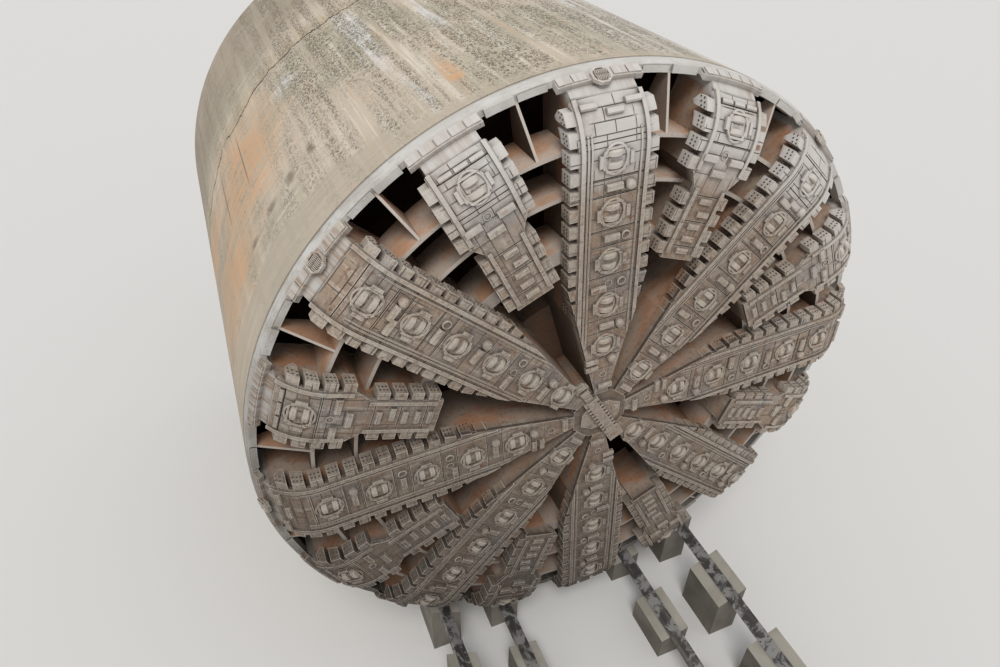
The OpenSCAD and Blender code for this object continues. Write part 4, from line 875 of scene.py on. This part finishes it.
def makeJointFiller():
    around = np.arange(filler["sides"]) * 2 * np.pi / filler["sides"]
    y0, y1 = machine["skinJoint"] + filler["margin"], machine["skinJoint"] + machine["jointGap"] - filler["margin"]
    radius, y = np.array([(filler["inner"], y0), (filler["inner"], y1), (filler["outer"], y1), (filler["outer"], y0)]).T
    points = np.stack([np.outer(np.sin(around), radius), np.tile(y, (len(around), 1)),
                       machine["axisHeight"] + np.outer(np.cos(around), radius)], -1).reshape(-1, 3)
    makePiece("joint_slurry", points, noTriangles, ringQuads(filler["sides"], 4), "skin_steel", "shield")


# parts at the rear: a place and the directions at an angle round an axis along Y, from the top

def roundY(radius, y, angle, x=0.0, z=machine["axisHeight"]):
    a = np.radians(angle)
    return np.stack(np.broadcast_arrays(x + radius * np.sin(a), y, z + radius * np.cos(a)), -1)


def roundAxes(angle):  # outwards, and on round the axis
    a = np.radians(angle)
    return np.stack([np.sin(a), 0 * a, np.cos(a)], -1), np.stack([np.cos(a), 0 * a, -np.sin(a)], -1)


def boltCircle(name, radius, y, count, size, body, x=0.0, z=machine["axisHeight"], start=0.0):
    angle = start + np.arange(count) * 360.0 / count
    placeCopies(name, hexHead, roundY(radius, y, angle, x, z), *roundAxes(angle), "stud", body, "frame_grey",
                (size,) * 3)


def slabShape(bevel=0.08):  # a block from -1 to 1 whose edges are cut: its profile widens, stands and narrows
    levels = np.array([(1 - bevel, -1), (1, -1 + 2 * bevel), (1, 1 - 2 * bevel), (1 - bevel, 1)])
    corners = np.array([(-1, -1), (1, -1), (1, 1), (-1, 1)])
    points = np.concatenate([np.column_stack([corners * wide, np.full(4, height)]) for wide, height in levels])
    k = np.arange(4)
    n = (k + 1) % 4
    low = 4 * np.arange(3)[:, None]
    sides = np.stack([low + k, low + n, low + 4 + n, low + 4 + k], -1).reshape(-1, 4)
    return points, noTriangles, np.vstack([[[3, 2, 1, 0]], sides, [[12, 13, 14, 15]]])


motor = {"circle": 2.89, "count": 12, "radius": 0.33, "flangeY": 0.345, "endY": 1.145, "fins": 24, "finHeight": 0.028,
         "finHalf": 0.007, "finShort": 0.08, "boltCircle": 0.362, "bolts": 16, "boltSize": 0.75,
         "boxOut": 0.07, "boxSize": (0.09, 0.13, 0.19)}

def makeMotorTrim():
    angles = np.arange(motor["count"]) * 360.0 / motor["count"]
    centres = roundY(motor["circle"], 0.0, angles)
    finAngle = (np.arange(motor["fins"]) + 0.5) * 2 * np.pi / motor["fins"]
    out = np.stack([np.sin(finAngle), 0 * finAngle, np.cos(finAngle)], -1)
    length = (motor["endY"] - motor["flangeY"]) / 2 - motor["finShort"]
    middle = (motor["endY"] + motor["flangeY"]) / 2
    at = (centres[:, None] + out[None] * motor["radius"] + [0, middle, 0]).reshape(-1, 3)
    outward = np.broadcast_to(out[None], (len(centres),) + out.shape).reshape(-1, 3)
    placeCopies("motor_fins", slabShape(), at, outward, np.cross([0.0, 1.0, 0.0], outward), "machine_blue", "shield",
                "machine_blue", (motor["finHeight"], motor["finHalf"], length))
    # fan cowl: stepped rings with a raised middle
    r = motor["radius"]
    cowl = revolvedShape([(0, -0.01), (r - 0.01, -0.01), (r - 0.01, 0.012), (r - 0.05, 0.03), (r - 0.07, 0.018),
                          (r - 0.11, 0.030), (r - 0.13, 0.018), (r - 0.17, 0.030), (r - 0.19, 0.018), (0.08, 0.024),
                          (0.06, 0.036), (0, 0.036)], 24)
    placeCopies("motor_cowls", cowl, centres + [0, motor["endY"], 0], [0.0, 0.0, 1.0], [1.0, 0.0, 0.0], "frame_grey",
                "shield", "frame_grey")
    for k, centre in enumerate(centres):
        boltCircle(f"motor_bolts_{k + 1}", motor["boltCircle"], motor["flangeY"], motor["bolts"], motor["boltSize"],
                   "shield", centre[0], centre[2])
    # terminal box towards the axis
    inward = (np.array([0, 0, machine["axisHeight"]]) - centres) / motor["circle"]
    at = centres + inward * (r + motor["boxOut"]) + [0, middle, 0]
    placeCopies("terminal_boxes", slabShape(0.12), at, inward, np.cross([0.0, 1.0, 0.0], inward), "frame_grey",
                "shield",
                "frame_grey", motor["boxSize"])


# a rounded pad on each ram shoe and its bolts
ram = {"pairs": 28, "circle": 8.41, "shoeEnd": 4.485, "padHalfLength": 0.60, "padHalfDepth": 0.19, "padThick": 0.022,
       "rise": 0.9, "boltsDeep": (-0.1, 0.1), "boltsLong": (-0.52, -0.18, 0.18, 0.52),
       "groups": ("rams_top", "rams_right", "rams_bottom", "rams_left")}

def makeShoeTrim():
    perGroup = ram["pairs"] // len(ram["groups"])
    rise = ram["padThick"] * ram["rise"]
    for g, group in enumerate(ram["groups"]):
        angle = (g * perGroup + np.arange(perGroup) + 0.5) * 360.0 / ram["pairs"] - 45.0
        outward, around = roundAxes(angle)
        at = roundY(ram["circle"], ram["shoeEnd"] + rise, angle)
        placeCopies(f"{group}_pads", slabShape(0.10), at, outward, around, "pad", group, "seal_wire",
                    (ram["padHalfDepth"], ram["padHalfLength"], ram["padThick"]))
        shift = np.array([(u, v) for u in ram["boltsDeep"] for v in ram["boltsLong"]])
        where = (at[:, None] + shift[None, :, :1] * outward[:, None] + shift[None, :, 1:] * around[:, None]
                 + [0, rise, 0]).reshape(-1, 3)
        placeCopies(f"{group}_bolts", hexHead, where, np.repeat(outward, len(shift), 0),
                    np.repeat(around, len(shift), 0), "rod_chrome", group, "rod_chrome")


# bolts on the erector's turning ring, and two rubber lips round the underside of its suction plate
erector = {"outerBolts": (2.86, 72, 1.5), "innerBolts": (2.64, 48, 1.2), "innerStart": 3.0, "insets": (0.05, 0.17),
           "stand": 0.012, "lip": 0.022}

def makeErectorTrim():
    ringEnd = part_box("erector_ring")[1][1]
    for name, key, start in (("erector_ring_bolts", "outerBolts", 0.0),
                             ("erector_ring_inner_bolts", "innerBolts", erector["innerStart"])):
        radius, count, size = erector[key]
        boltCircle(name, radius, ringEnd, count, size, "erector_ring", start=start)
    lo, hi = (np.array(c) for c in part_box("erector_gripper"))
    middle, half = (lo + hi) / 2, (hi - lo) / 2
    low, lip = lo[2] + erector["stand"], erector["lip"]
    for k, inset in enumerate(erector["insets"]):
        wide, long = half[0] - inset, half[1] - inset
        sides = (("along", [(middle[0], middle[1] + side * long, low) for side in (-1, 1)], (wide, lip, lip)),
                 ("across", [(middle[0] + side * wide, middle[1], low) for side in (-1, 1)], (lip, long, lip)))
        for name, at, size in sides:
            placeCopies(f"gripper_lip_{name}_{k + 1}", slabShape(0.15), at, [1.0, 0.0, 0.0], [0.0, -1.0, 0.0], "pad",
                        "erector_gripper", "seal_wire", size)


# bolts and a spoked handwheel on the man lock's door
lock = {"x": -3.6, "z": 13.9, "door": 0.84, "doorEnd": 1.686, "boltsIn": 0.07, "bolts": 32, "boltSize": 0.9,
        "wheelOut": 0.13, "wheel": (0.24, 0.020), "plate": (0.15, 0.022), "plateOut": 0.004, "around": 40, "tube": 8,
        "spokeAt": 0.125, "spoke": (0.115, 0.016, 0.012)}

def makeLockTrim():
    boltCircle("lock_door_bolts", lock["door"] - lock["boltsIn"], lock["doorEnd"], lock["bolts"], lock["boltSize"],
               "man_lock_door", lock["x"], lock["z"])
    u, v = (g.ravel() for g in np.meshgrid(*(np.arange(lock[k]) * 2 * np.pi / lock[k] for k in ("around", "tube")),
                                           indexing="ij"))

    def torus(radius, thick, y):  # a tube of the given thickness carried round a circle
        out = radius + thick * np.cos(v)
        return np.stack([lock["x"] + out * np.sin(u), y + thick * np.sin(v), lock["z"] + out * np.cos(u)], -1)

    quads = ringQuads(lock["around"], lock["tube"])[:, [0, 3, 2, 1]]  # turned outwards
    wheel = np.vstack([torus(*lock["wheel"], lock["doorEnd"] + lock["wheelOut"]),
                       torus(*lock["plate"], lock["doorEnd"] + lock["plateOut"])])
    makePiece("lock_handwheel", wheel, noTriangles, np.vstack([quads, quads + len(u)]), "erector_yellow",
              "man_lock_door", True)
    # three spokes and the hub
    outward, around = roundAxes(np.array([0.0, 120.0, 240.0]))
    centre = np.array([lock["x"], lock["doorEnd"] + lock["wheelOut"], lock["z"]])
    placeCopies("lock_wheel_spokes", slabShape(0.12), centre + outward * lock["spokeAt"], outward, around,
                "erector_yellow", "man_lock_door", "erector_yellow", lock["spoke"])
    hub = revolvedShape([(0, -0.14), (0.035, -0.14), (0.035, 0.0), (0.055, 0.0), (0.055, 0.03), (0.04, 0.045),
                         (0, 0.045)], 20)
    placeCopies("lock_wheel_hub", hub, centre, [0.0, 0.0, 1.0], [1.0, 0.0, 0.0], "rod_chrome", "man_lock_door",
                "rod_chrome")


# circles of bolts on the fixed parts: radius, Y, how many, size
rearBolts = {
    "drive_housing_bolts": (3.32, -0.105, 96, 1.5),
    "drive_cover_bolts": (2.30, -0.105, 60, 1.5),
    "drive_end_bolts": (0.62, 0.495, 24, 1.2),
    "thrust_plate_bolts": (7.40, 3.585, 168, 1.5),
}

# pairs of clip bolts along both edges of each slide rail, where the skin doesn't cover it
rail = {"angles": (-30.0, -15.5, 15.5, 30.0), "halfWidth": 0.145, "pitch": 0.6, "start": -11.2, "end": 11.2,
        "top": 8.805, "clear": 0.05, "boltSize": 1.3}

def makeRailBolts():
    angle, y, side = (g.ravel() for g in np.meshgrid(
        rail["angles"], np.arange(rail["start"], rail["end"], rail["pitch"]), (-1.0, 1.0), indexing="ij"))
    hidden = (y > machine["skinFront"] - rail["clear"]) & (y < machine["skinEnd"] + rail["clear"])
    angle, y, side = angle[~hidden], y[~hidden], side[~hidden]
    out, around = roundAxes(180.0 - angle)
    at = roundY(rail["top"], y, 180.0 - angle) + around * (side * rail["halfWidth"])[:, None]
    placeCopies("rail_bolts", hexHead, at, around, np.cross(-out, around), "stud", "shield", "rail_steel",
                (rail["boltSize"],) * 3)


makeToothBolts()
makeRollerRibs()
makeCollars()
makeCakedClay()
makeJointFiller()
makeMotorTrim()
makeShoeTrim()
makeErectorTrim()
makeLockTrim()
for name, row in rearBolts.items():
    boltCircle(name, *row, "shield")
makeRailBolts()
print("small parts placed")


# stage, light and camera
stage = {
    "floorColour": (0.62, 0.60, 0.57),
    "floorSize": 300.0,
    "sky": (0.93, 0.96, 1.0, 1.0),
    "skyStrength": 0.75,
    "seen": (0.93, 0.92, 0.90, 1.0),     # what the camera and gloss see
    "sunStrength": 1.6,
    "sunSpread": 25,                     # degrees
    "sunFrom": (-0.35, -0.75, 1.35),
}


def makeFloor():
    half = stage["floorSize"] / 2
    mesh = bpy.data.meshes.new("floor")
    mesh.from_pydata([(-half, -half, 0), (half, -half, 0), (half, half, 0), (-half, half, 0)], [], [(0, 1, 2, 3)])
    floor = bpy.data.objects.new("floor", mesh)
    bpy.context.scene.collection.objects.link(floor)
    s = Sheet("paleFloor")
    s.finish(stage["floorColour"], 0.9)
    mesh.materials.append(s.material)


def makeLight():
    world = bpy.data.worlds.new("softSky")
    bpy.context.scene.world = world
    world.use_nodes = True
    tree = world.node_tree
    tree.nodes.clear()
    out, mixer, soft, seen, path, first, both = (tree.nodes.new("ShaderNode" + kind) for kind in (
        "OutputWorld", "MixShader", "Background", "Background", "LightPath", "Math", "Math"))
    for node, colour, strength in ((soft, "sky", stage["skyStrength"]), (seen, "seen", 1.0)):
        node.inputs["Color"].default_value = stage[colour]
        node.inputs["Strength"].default_value = strength
    first.operation = both.operation = "MAXIMUM"
    for source, target in ((path.outputs["Is Camera Ray"], first.inputs[0]),
                           (path.outputs["Is Glossy Ray"], first.inputs[1]), (first.outputs[0], both.inputs[0]),
                           (path.outputs["Is Transmission Ray"], both.inputs[1]), (both.outputs[0], mixer.inputs[0]),
                           (soft.outputs[0], mixer.inputs[1]), (seen.outputs[0], mixer.inputs[2]),
                           (mixer.outputs[0], out.inputs["Surface"])):
        tree.links.new(source, target)
    lamp = bpy.data.lights.new("softSun", "SUN")
    lamp.energy = stage["sunStrength"]
    lamp.angle = math.radians(stage["sunSpread"])
    sun = bpy.data.objects.new("softSun", lamp)
    bpy.context.scene.collection.objects.link(sun)
    sun.rotation_euler = Vector(stage["sunFrom"]).to_track_quat("Z", "Y").to_euler()


view = {
    "place": (-7.738, -17.315, 22.568),  # metres
    "yaw": 23.08,                        # degrees to the right of +Y
    "down": 37.52,
    "roll": 0.79,
    "lens": 25.207,                      # on the sensor's width, in mm
    "sensor": 36.0,
    "reach": 500.0,
}


def makeCamera():
    yaw, down, roll = (math.radians(view[k]) for k in ("yaw", "down", "roll"))
    ahead = Vector((math.sin(yaw) * math.cos(down), math.cos(yaw) * math.cos(down), -math.sin(down)))
    right = ahead.cross(Vector((0, 0, 1))).normalized()
    up = right.cross(ahead)
    right, up = (math.cos(roll) * right + math.sin(roll) * up, -math.sin(roll) * right + math.cos(roll) * up)
    data = bpy.data.cameras.new("camera")
    data.lens = view["lens"]
    data.sensor_width = view["sensor"]
    data.sensor_fit = "HORIZONTAL"
    data.clip_end = view["reach"]
    camera = bpy.data.objects.new("camera", data)
    bpy.context.scene.collection.objects.link(camera)
    turn = Matrix((right, up, -ahead)).transposed().to_4x4()
    camera.matrix_world = Matrix.Translation(Vector(view["place"])) @ turn
    bpy.context.scene.camera = camera


makeFloor()
makeLight()
makeCamera()
bpy.context.scene.view_settings.view_transform = "Standard"
print("stage, light and camera set")
